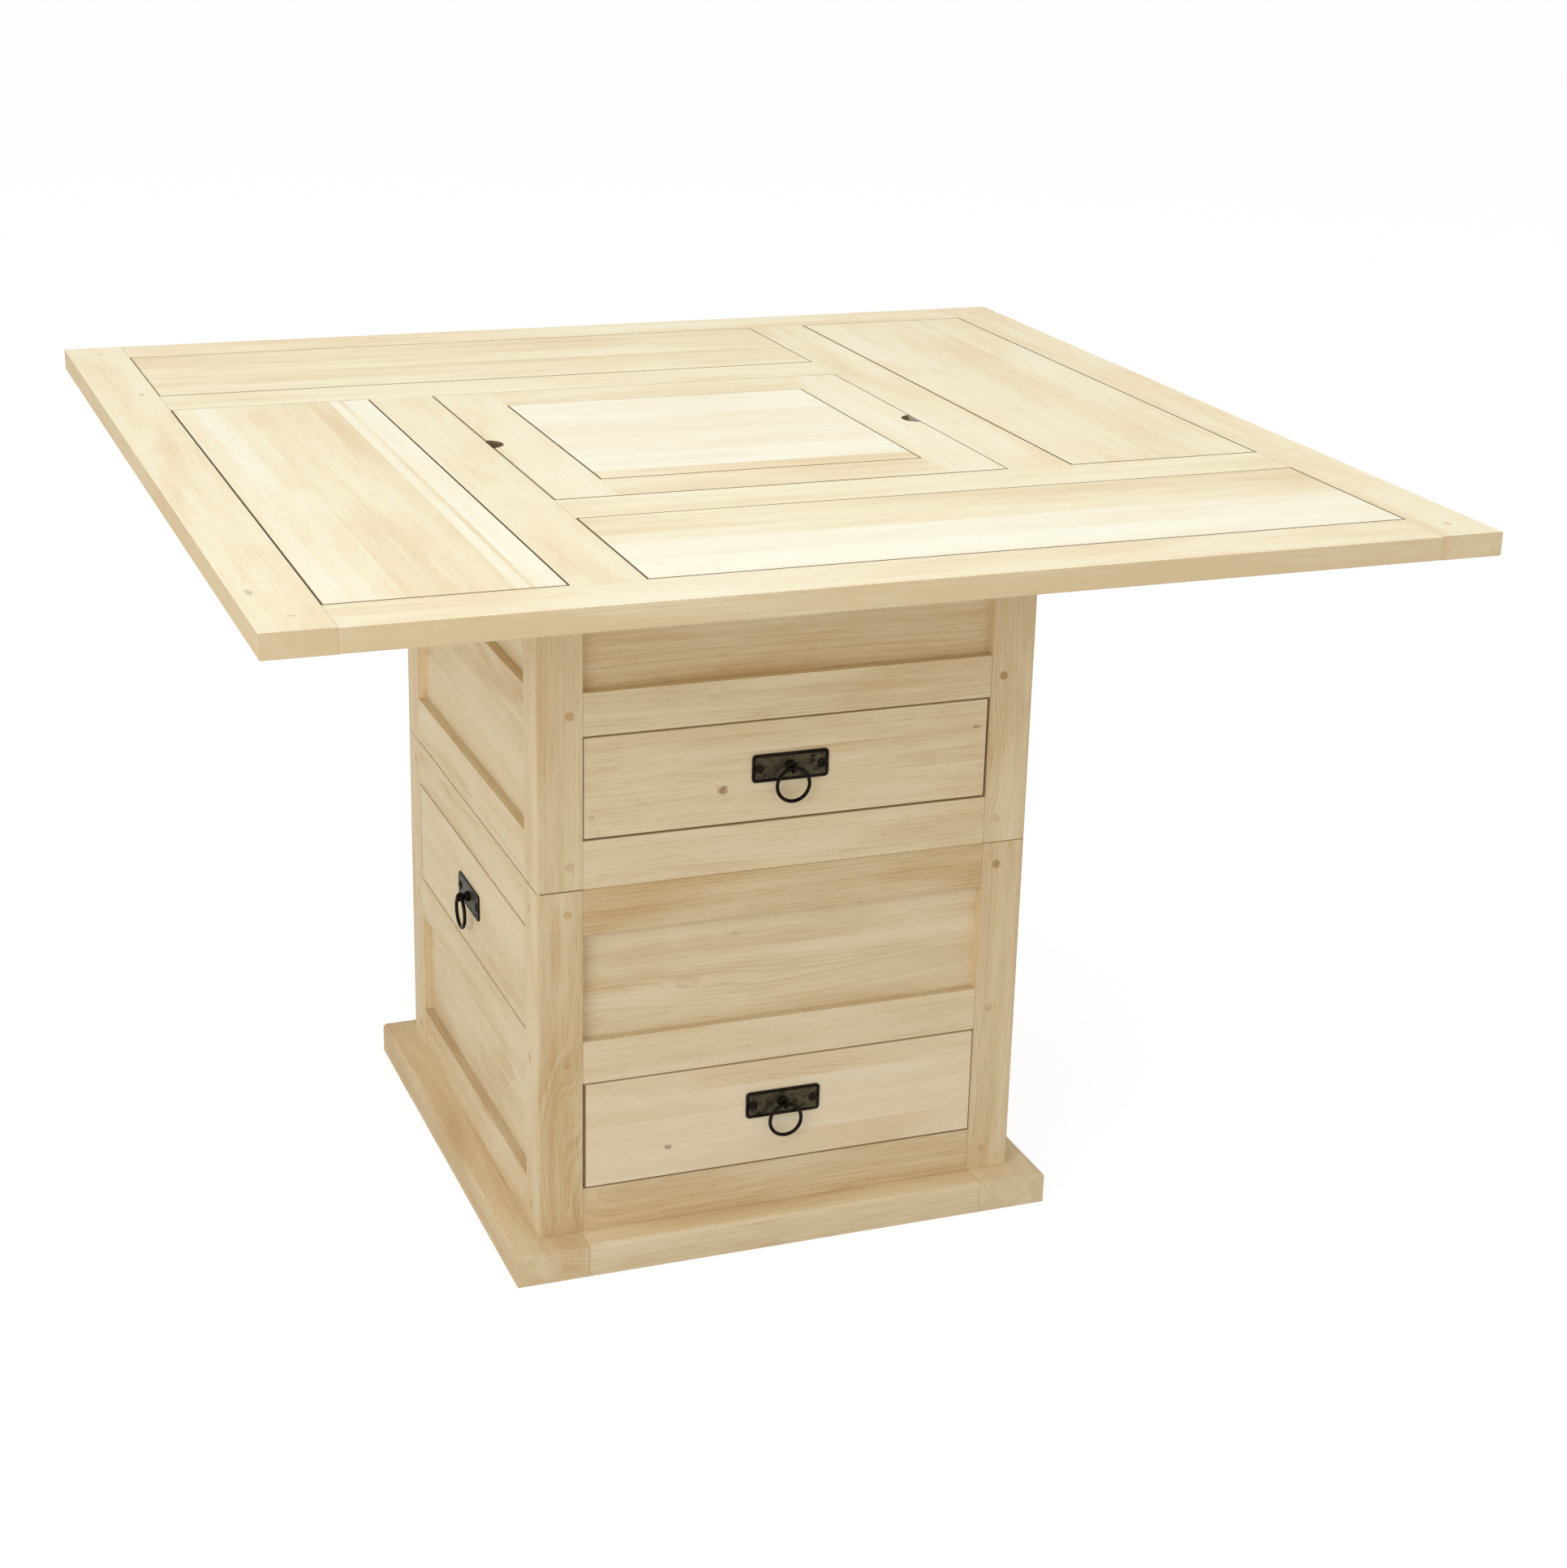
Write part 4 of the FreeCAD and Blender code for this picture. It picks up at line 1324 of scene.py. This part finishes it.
@dataclass
class Case(Assembly):
    """One of the two stacked cases, with its plinth or bin floor.

    Attributes:
        name: Lower or upper.
        tones: Tones of the boards that show in front and on the left.
        dark_pegs: Front pegs that stand out, each by its rail from the floor up and its side.
        pegs: The pegs of its joints.
        peg_inset: How far a peg stands from the inner edge of its post.
        flank_painted_light: Painted light, a paler tone on the left faces of the left front post.
        seam_painted_shade: Painted shade in the seam between the cases.
        ledge_painted_shade: Painted shade on the upward ledges of the rails, in the shade of the top.
    """

    name: str
    tones: dict[str, tuple[float, ...]]
    dark_pegs: tuple[tuple[int, int], ...]
    pegs: Pegs = field(default_factory=Pegs)
    peg_inset: float = 12.5 * MM
    flank_painted_light: float = -0.35
    seam_painted_shade: float = 0.7
    ledge_painted_shade: float = 0.18

    def build(self) -> None:
        """Builds the posts, rails, panels, dowels, runners and pegs."""
        flat = {"bin_floor": Grain.SIDEWAYS, "plinth_floor": Grain.SIDEWAYS}
        self.settle_boards(
            Board(node, grain=flat.get(node, Grain.LONGEST), tones=self.tones.get(node, ()),
                  mortised=node.endswith("_posts"))
            for node in self.nodes)
        self.settle(self.pegs.build(self.name + "_pegs", self.peg_seats()), Slot.CASE)

    def age(self, piece: Piece, node: str) -> None:
        """Paints the left flank paler as painted light, and paints shade into the seam where the cases meet
        and onto the ledges of the rails.

        Args:
            piece: The boards of the node.
            node: Name of the node.
        """
        room = 1.0 * MM
        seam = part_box("upper_posts")[0].z
        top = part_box(self.name + "_posts")[1].z
        seam_way = UP if self.name == "lower" else -UP
        # Painted light: the left faces of the left front post are paler than its front
        if node.endswith("_posts"):
            tint_faces(piece, Tint.TONE, self.flank_painted_light,
                       lambda face: looks(face, LEFT) and face.center.x < 0 and face.center.y < 0)
        # Painted shade in the seam where the cases meet
        if node.endswith(("_posts", "_left_rails")):
            tint_faces(piece, Tint.SOIL, self.seam_painted_shade,
                       lambda face: abs(face.center.z - seam) < room and is_eased(face, seam_way))
        # Painted shade on the upward ledges of the rails, in the shade of the top
        if node.startswith(self.name) and node.endswith("_rails"):
            tint_faces(piece, Tint.SOIL, self.ledge_painted_shade,
                       lambda face: looks(face, UP) and face.center.z < top - room)

    def peg_seats(self) -> list[PegSeat]:
        """Finds the joints of rails and posts on all four sides.

        Returns:
            A seat for each joint.
        """
        post_low, post_high = solid_boxes(self.name + "_posts")[0]
        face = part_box(self.name + "_posts")[1].x
        joint = face - (post_high.x - post_low.x) + self.peg_inset
        dark, soft, faint = (1.0, 0.25), (0.75, 0.04), (0.45, 0.0)
        seats = []
        for rail, (low, high) in enumerate(solid_boxes(self.name + "_front_rails")):
            for turn, side in itertools.product(range(4), (-1, 1)):
                spin = Matrix.Rotation(turn * math.pi / 2, 3, "Z")
                place = Vector((side * joint, -face, (low.z + high.z) / 2))
                tint = faint
                if turn == 0 and (rail, side) in self.dark_pegs:
                    tint = dark if side > 0 else soft
                seats.append(PegSeat(spin @ place, spin @ FRONT, *tint))
        return seats


@dataclass
class TableTop(Assembly):
    """The framed top, with its four panels in a pinwheel round the lid."""

    arris: float = 0.45 * MM
    panel_arris: float = 0.8 * MM
    rail_tone: float = 0.0
    rim_tone: float = 0.9
    end_tone: float = 0.1
    gap_painted_shade: float = 0.88
    wall_painted_shade: float = 0.3
    gap_shade_relief: float = 0.7
    peg_reach: Span = (517 * MM, 512 * MM)
    peg_tone: float = 0.4
    pegs: Pegs = field(default_factory=lambda: Pegs(radius=3.4 * MM, length=5 * MM, proud=-0.25 * MM))
    left_staves: tuple[Stave, ...] = (
        Stave(30, -0.25), Stave(24, -0.45), Stave(22, -0.15, 0.1), Stave(30, 0.1, 0.1),
        Stave(36, 0.15, 0.1), Stave(24, 0.2, 0.1), Stave(10, -0.5), Stave(5, 0.1), Stave(0, -0.6))
    front_staves: tuple[Stave, ...] = (
        Stave(62, -0.8), Stave(52, -0.55), Stave(30, -0.2), Stave(0, 0.2, 0.15))
    right_staves: tuple[Stave, ...] = (
        Stave(48, -0.1, 0.1), Stave(58, 0.05, 0.0, Cut.FLAT), Stave(50, 0.15, 0.1), Stave(0, 0.0))
    back_staves: tuple[Stave, ...] = (
        Stave(46, -0.05, 0.1), Stave(52, 0.25, 0.1), Stave(44, 0.05), Stave(0, 0.3, 0.1))

    def build(self) -> None:
        """Builds the rails, the panels and the pegs of the corner joints."""
        staves = {"top_left_panel": self.left_staves, "top_front_panel": self.front_staves,
                  "top_right_panel": self.right_staves, "top_back_panel": self.back_staves}
        reach_x, reach_y = self.peg_reach
        level = CAD_BOX[1].z
        holes = {side: tuple(PegSeat(Vector((sign * reach_x, end * reach_y, level)), UP, self.peg_tone)
                             for end in (-1, 1))
                 for side, sign in (("top_left_rail", -1), ("top_right_rail", 1))}
        self.settle_boards(
            Board(node, staves=staves.get(node, ()), tones=(self.rail_tone,), holes=holes.get(node, ()),
                  arris=self.panel_arris if node in staves else self.arris)
            for node in self.nodes)
        self.settle(self.pegs.build("top_pegs", sum(holes.values(), ())), Slot.TOP)

    def age(self, piece: Piece, node: str) -> None:
        """Tans the outer edge and paints shade into the gaps between the boards, least round the lid.

        Args:
            piece: The board of the node.
            node: Name of the node.
        """
        room = 3.0 * MM
        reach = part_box("lid_left_rail")[1].y + room
        lines_gap = is_edge if node.endswith("_panel") else is_side

        def is_opening(face: Face) -> bool:
            """Tells whether a face is a wall of the opening for the lid."""
            return is_side(face) and -reach < face.center.to_2d().dot(face.normal.to_2d()) < 0

        tint_faces(piece, Tint.TONE, self.rim_tone, lambda face: is_side(face) and is_rim(face))
        if node in ("top_left_rail", "top_right_rail"):
            tint_faces(piece, Tint.TONE, self.end_tone,
                       lambda face: abs(face.normal.y) > MOSTLY and is_rim(face))
        # Painted shade in the gaps between the boards, and lighter painted shade on the walls of the
        # opening for the lid
        tint_faces(piece, Tint.SOIL, self.gap_painted_shade,
                   lambda face: lines_gap(face) and not is_rim(face) and not is_opening(face))
        tint_faces(piece, Tint.SOIL, self.wall_painted_shade, is_opening)
        # Less painted shade on the left edge of the back panel
        if node == "top_back_panel":
            tint_faces(piece, Tint.SOIL, -self.gap_painted_shade * self.gap_shade_relief,
                       lambda face: looks(face, LEFT, BARELY))


@dataclass
class Lid(Assembly):
    """The lift-out lid over the storage bin."""

    arris: float = 0.45 * MM
    panel_arris: float = 0.7 * MM
    gap_painted_shade: float = 0.88
    wall_painted_shade: float = 0.3
    notch_painted_shade: float = 0.88
    notch_reach: float = 20 * MM
    panel_staves: tuple[Stave, ...] = (
        Stave(36, 0.1, 0.3), Stave(60, -0.7), Stave(80, -0.55), Stave(70, -0.4), Stave(0, -0.6))

    def build(self) -> None:
        """Builds the frame and panel of the lid."""
        self.settle_boards(
            Board(node, grain=Grain.SIDEWAYS, staves=self.panel_staves, arris=self.panel_arris)
            if node == "lid_panel" else Board(node, arris=self.arris)
            for node in self.nodes)

    def age(self, piece: Piece, node: str) -> None:
        """Paints shade into the gaps round the panel and the lid, and into the finger notches.

        Args:
            piece: The board of the node.
            node: Name of the node.
        """
        if node == "lid_panel":
            # Painted shade in the gap round the panel
            tint_faces(piece, Tint.SOIL, self.gap_painted_shade, is_edge)
            return
        room = 1.0 * MM
        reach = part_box("lid_left_rail")[1].y - room

        def is_outer(face: Face) -> bool:
            """Tells whether a face lies on the outer edge of the lid."""
            return reach_of(face) > reach

        def is_notch(face: Face) -> bool:
            """Tells whether a face lies in a finger notch."""
            return is_side(face) and not is_outer(face) and abs(face.center.y) < self.notch_reach

        # Painted shade in the gap round the lid, darkest on its eased top edges
        tint_faces(piece, Tint.SOIL, self.gap_painted_shade, lambda face: is_outer(face) and is_eased(face, UP))
        tint_faces(piece, Tint.SOIL, self.wall_painted_shade,
                   lambda face: is_outer(face) and is_side(face) and not is_eased(face, UP))
        # Painted shade in the finger notches
        if node in ("lid_left_rail", "lid_right_rail"):
            tint_faces(piece, Tint.SOIL, self.notch_painted_shade, is_notch)


@dataclass(frozen=True)
class GapShade:
    """Painted shade on the four eased edges of a drawer front, which line the gap round it, as seen by
    someone who faces it.
    """

    left: float = 0.85
    right: float = 0.85
    below: float = 0.85
    above: float = 0.85


@dataclass
class Drawer(Assembly):
    """A drawer with its box, bottom and ring pull.

    Attributes:
        ring_body: Body of the ring.
        outward: Direction that the front looks in.
        front_staves: Staves of the front, from its lower edge.
        gap_shade: Painted shade in the gap round the front.
        dome_steps: Inset and swell of each step of a domed head, as shares of its radius and rise.
        ring_angle: Edges of the ring sharper than this stay sharp.
    """

    ring_body: str
    outward: Vector
    front_staves: tuple[Stave, ...]
    gap_shade: GapShade = GapShade()
    front_arris: float = 0.8 * MM
    plate_corner: float = 4.0 * MM
    plate_corner_steps: int = 5
    plate_bevel: float = 0.8 * MM
    plate_rim: float = 2.2 * MM
    plate_dish: float = 0.35 * MM
    head_radius: float = 4.4 * MM
    head_rise: float = 1.5 * MM
    head_spread: float = 31.5 * MM
    head_sides: int = 18
    boss_radius: float = 5.5 * MM
    boss_rise: float = 5.0 * MM
    dome_steps: tuple[Span, ...] = ((0.3, 0.3), (0.35, 0.12))
    ring_sides: int = 14
    ring_steps: int = 56
    ring_angle: float = math.radians(60)

    @property
    def leftward(self) -> Vector:
        """The direction to the left of someone who faces the front."""
        return self.outward.cross(UP)

    def build(self) -> None:
        """Builds the wooden box, then the pull."""
        self.settle_boards((
            Board(self.body + "_front", staves=self.front_staves, arris=self.front_arris),
            Board(self.body + "_box"),
            Board(self.body + "_bottom", grain=Grain.SIDEWAYS)))
        self.build_plate()
        self.build_heads()
        self.build_eye()
        self.build_ring()

    def age(self, piece: Piece, node: str) -> None:
        """Paints shade on the eased edges of the front, which line the gap round it.

        Args:
            piece: The boards of the node.
            node: Name of the node.
        """
        if node != self.body + "_front":
            return

        def edge_towards(way: Vector) -> FaceTest:
            """Gives a test for the eased edge that looks one way."""
            return lambda face: is_eased(face, self.outward) and looks(face, way, PARTLY)

        # Painted shade on each eased edge that lines the gap
        for way, dust_and_shade in ((self.leftward, self.gap_shade.left), (-self.leftward, self.gap_shade.right),
                          (-UP, self.gap_shade.below), (UP, self.gap_shade.above)):
            tint_faces(piece, Tint.SOIL, dust_and_shade, edge_towards(way))

    def build_plate(self) -> None:
        """Rounds a plate's corners and dishes its middle inside the rim."""
        node = self.body + "_pull_plate"
        plate = join_pieces([add_block(*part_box(node))], node + "_iron")
        with edit_mesh(plate, "EDGE"):
            pick_edges(plate, lambda start, end: abs((end - start).normalized().dot(self.outward)) > NEARLY)
            bpy.ops.mesh.bevel(offset=self.plate_corner, segments=self.plate_corner_steps, affect="EDGES")
        ease_arrises(plate, self.plate_bevel)
        with edit_mesh(plate):
            pick_faces(plate, lambda face: looks(face, self.outward, SQUARELY))
            bpy.ops.mesh.inset(thickness=self.plate_rim)
            bpy.ops.mesh.inset(thickness=self.plate_dish, depth=-self.plate_dish)
        rubbed = plate.data.attributes.new("rubbed", "FLOAT", "FACE")
        for face, entry in zip(plate.data.polygons, rubbed.data):
            entry.value = 1.0 if face.select else 0.0
        smooth_faces(plate)
        self.settle(plate, Slot.IRON, node)

    def build_heads(self) -> None:
        """Makes the two domed heads that hold the plate, and the boss behind the eye."""
        low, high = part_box(self.body + "_pull_plate")
        middle = (low + high) / 2
        face = max(low.dot(self.outward), high.dot(self.outward))
        seat = middle + self.outward * (face - middle.dot(self.outward))
        aside = self.leftward * self.head_spread
        heads = [self.make_head(place, self.head_radius, self.head_rise)
                 for place in (seat - aside, seat + aside)]
        heads.append(self.make_head(seat, self.boss_radius, self.boss_rise))
        piece = join_pieces(heads, self.body + "_pull_heads")
        smooth_faces(piece)
        self.settle(piece, Slot.IRON)

    def make_head(self, place: Vector, radius: float, rise: float) -> Piece:
        """Shapes one domed head from a short cylinder.

        Args:
            place: Where its axis meets the plate.
            radius: Radius of the head.
            rise: Length of the cylinder, half of which shows.

        Returns:
            The head.
        """
        head = add_cylinder(radius, rise, place, self.outward, self.head_sides)
        with edit_mesh(head):
            pick_faces(head, lambda face: looks(face, self.outward))
            for inset, swell in self.dome_steps:
                bpy.ops.mesh.inset(thickness=radius * inset)
                bpy.ops.transform.translate(value=self.outward * rise * swell)
        return head

    def build_eye(self) -> None:
        """Shades the eye that carries the ring."""
        node = self.body + "_pull_eye"
        eye = join_pieces(copy_solids(node), node + "_iron")
        smooth_faces(eye)
        self.settle(eye, Slot.IRON, node)

    def build_ring(self) -> None:
        """Spins a round wire into the ring."""
        weld = 0.01 * MM
        node = self.body + "_pull_ring"
        low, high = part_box(node)
        middle = (low + high) / 2
        span = high - low
        wire = min(span) / 2
        put_down()
        bpy.ops.mesh.primitive_circle_add(vertices=self.ring_sides, radius=wire, fill_type="NOTHING",
                                          location=middle + UP * (span.z / 2 - wire),
                                          rotation=turn_to(self.leftward))
        ring = join_pieces([set_in_place()], node + "_iron")
        with edit_mesh(ring, "VERT"):
            bpy.ops.mesh.spin(steps=self.ring_steps, angle=math.tau, center=middle, axis=self.outward)
            bpy.ops.mesh.select_all(action="SELECT")
            bpy.ops.mesh.remove_doubles(threshold=weld)
            bpy.ops.mesh.normals_make_consistent(inside=False)
        smooth_faces(ring, self.ring_angle)
        self.settle(ring, Slot.IRON, node, body=self.ring_body)


# Light and camera

@dataclass(frozen=True)
class Lamp:
    """A square soft lamp.

    Attributes:
        name: Name of the lamp.
        place: Where it stands, in metres.
        target: What it points at, in metres.
        side: Length of its side, in metres.
        power: Power in watts.
    """

    name: str
    place: Place
    target: Place
    side: float
    power: float

    def build(self) -> None:
        """Adds the lamp."""
        bpy.ops.object.light_add(type="AREA", location=self.place)
        lamp = bpy.context.active_object
        lamp.name = self.name
        aim = Vector(self.target) - Vector(self.place)
        lamp.rotation_euler = aim.to_track_quat("-Z", "Y").to_euler()
        lamp.data.shape = "SQUARE"
        lamp.data.size = self.side
        lamp.data.energy = self.power


@dataclass
class Studio:
    """A white floor, a broad lamp overhead and a soft one beside the camera."""

    floor_side: float = 80.0
    ambient: float = 0.53
    lamps: tuple[Lamp, ...] = (
        Lamp("lamp_overhead", place=(-0.4, -0.6, 4.2), target=(0, 0, 0.7), side=4.2, power=70.0),
        Lamp("lamp_front_left", place=(-3.85, -3.3, 2.4), target=(0, 0, 0.4), side=2.4, power=71.0))

    def build(self, finish: FloorFinish) -> None:
        """Builds the floor, the lamps and the world.

        Args:
            finish: Finish of the floor.
        """
        put_down()
        bpy.ops.mesh.primitive_plane_add(size=self.floor_side)
        floor = bpy.context.active_object
        floor.name = "studio_floor"
        floor.data.materials.append(finish.make())
        for lamp in self.lamps:
            lamp.build()
        self.light_world()

    def light_world(self) -> None:
        """Makes the world white to the eye and softer as a light."""
        world = bpy.context.scene.world or bpy.data.worlds.new("studio")
        bpy.context.scene.world = world
        world.use_nodes = True
        hand = NodeHand(world.node_tree)
        strength = hand.math("MULTIPLY_ADD", seen_directly(hand), 1.0 - self.ambient, self.ambient)
        hand.fill(world.node_tree.nodes["Background"], {"Color": grey(1.0), "Strength": strength})


@dataclass
class PhotoCamera:
    """The camera of the photograph, fitted to the corners of the table.

    Attributes:
        image_width: Width of the picture in pixels.
        focal_pixels: Focal length in pixels.
        sensor: Width of the sensor in millimetres.
        place: Where it stands, in millimetres.
        heading: How far it looks to the right of straight back, in degrees.
        drop: How far it looks down, in degrees.
        roll: How far it leans, in degrees.
    """

    image_width: float = 1931.0
    focal_pixels: float = 3487.7
    sensor: float = 36.0
    place: Place = (-915.3, -2582.6, 1386.8)
    heading: float = 21.259
    drop: float = 20.002
    roll: float = -1.4803

    def build(self) -> None:
        """Sets the camera up."""
        heading, drop, roll = (math.radians(v) for v in (self.heading, self.drop, self.roll))
        ahead = Vector((math.sin(heading) * math.cos(drop), math.cos(heading) * math.cos(drop),
                        -math.sin(drop)))
        right = ahead.cross(UP).normalized()
        down = ahead.cross(right)
        level = math.cos(roll) * right + math.sin(roll) * down
        upright = math.sin(roll) * right - math.cos(roll) * down
        data = bpy.data.cameras.new("photo_camera")
        data.sensor_fit = "HORIZONTAL"
        data.sensor_width = self.sensor
        data.lens = self.focal_pixels / self.image_width * self.sensor
        camera = bpy.data.objects.new("photo_camera", data)
        bpy.context.scene.collection.objects.link(camera)
        turn = Matrix((level, upright, -ahead)).transposed().to_4x4()
        camera.matrix_world = Matrix.Translation(Vector(self.place) * MM) @ turn
        bpy.context.scene.camera = camera


# Tones of the boards that show, from the floor up, front to back and left to right
LOWER_TONES = {
    "plinth_rails": (0.1, 0.3, 0.15, 0.1),
    "lower_posts": (0.45, 0.25, 0.1, 0.1),
    "lower_front_rails": (0.3, -0.05, 0.55),
    "lower_left_rails": (0.1, -0.05, 0.0),
    "lower_front_panel": (0.15,),
    "lower_left_panel": (0.1,),
}
# The upper front panel and the middle upper front rail are darker partly in their own tone and partly as
# painted shade under the overhang of the top
UPPER_TONES = {
    "upper_posts": (0.45, 0.2, 0.05, 0.1),
    "upper_front_rails": (0.05, 0.2, 0.1),
    "upper_left_rails": (-0.1, 0.05, 0.1),
    "upper_front_panel": (0.3,),
    "upper_left_panels": (0.1, 0.1),
}

# Pegs, drawer fronts, and painted shade in the gaps round the fronts, as they show
LOWER_DARK_PEGS = ((1, -1), (2, 1))
UPPER_DARK_PEGS = ((0, -1), (1, -1), (1, 1))
LOWER_PEG_INSET = 15 * MM
UPPER_FRONT = (Stave(38, 0.05, 0.3), Stave(32, 0.1, 0.25), Stave(0, 0.15, 0.35))
LOWER_FRONT = (Stave(28, -0.35, 0.55), Stave(34, -0.6, 0.55), Stave(24, -0.35, 0.6),
               Stave(0, -0.1, 0.55))
LEFT_FRONT = (Stave(0, -0.1),)
# Painted shade in the gaps round the upper and lower drawer fronts
UPPER_GAP_SHADE = GapShade(left=0.1, right=0.95, below=0.95, above=0.6)
LOWER_GAP_SHADE = GapShade(left=0.9, right=0.1, below=0.35, above=0.35)


def main() -> None:
    """Builds the table piece by piece, then the studio and the camera."""
    logging.basicConfig(level=logging.INFO, format="%(message)s")
    bpy.context.scene.view_settings.view_transform = "Standard"
    finishes = Finishes()
    finishes.make()
    Case("lower_case", finishes, "lower", LOWER_TONES, LOWER_DARK_PEGS, peg_inset=LOWER_PEG_INSET).build()
    Case("upper_case", finishes, "upper", UPPER_TONES, UPPER_DARK_PEGS).build()
    TableTop("table_top", finishes).build()
    Lid("lid", finishes).build()
    Drawer("upper_drawer", finishes, "upper_ring", FRONT, UPPER_FRONT, UPPER_GAP_SHADE).build()
    Drawer("lower_drawer", finishes, "lower_ring", FRONT, LOWER_FRONT, LOWER_GAP_SHADE).build()
    Drawer("left_drawer", finishes, "left_ring", LEFT, LEFT_FRONT).build()
    Studio().build(FloorFinish())
    PhotoCamera().build()


if __name__ == "__main__":
    main()
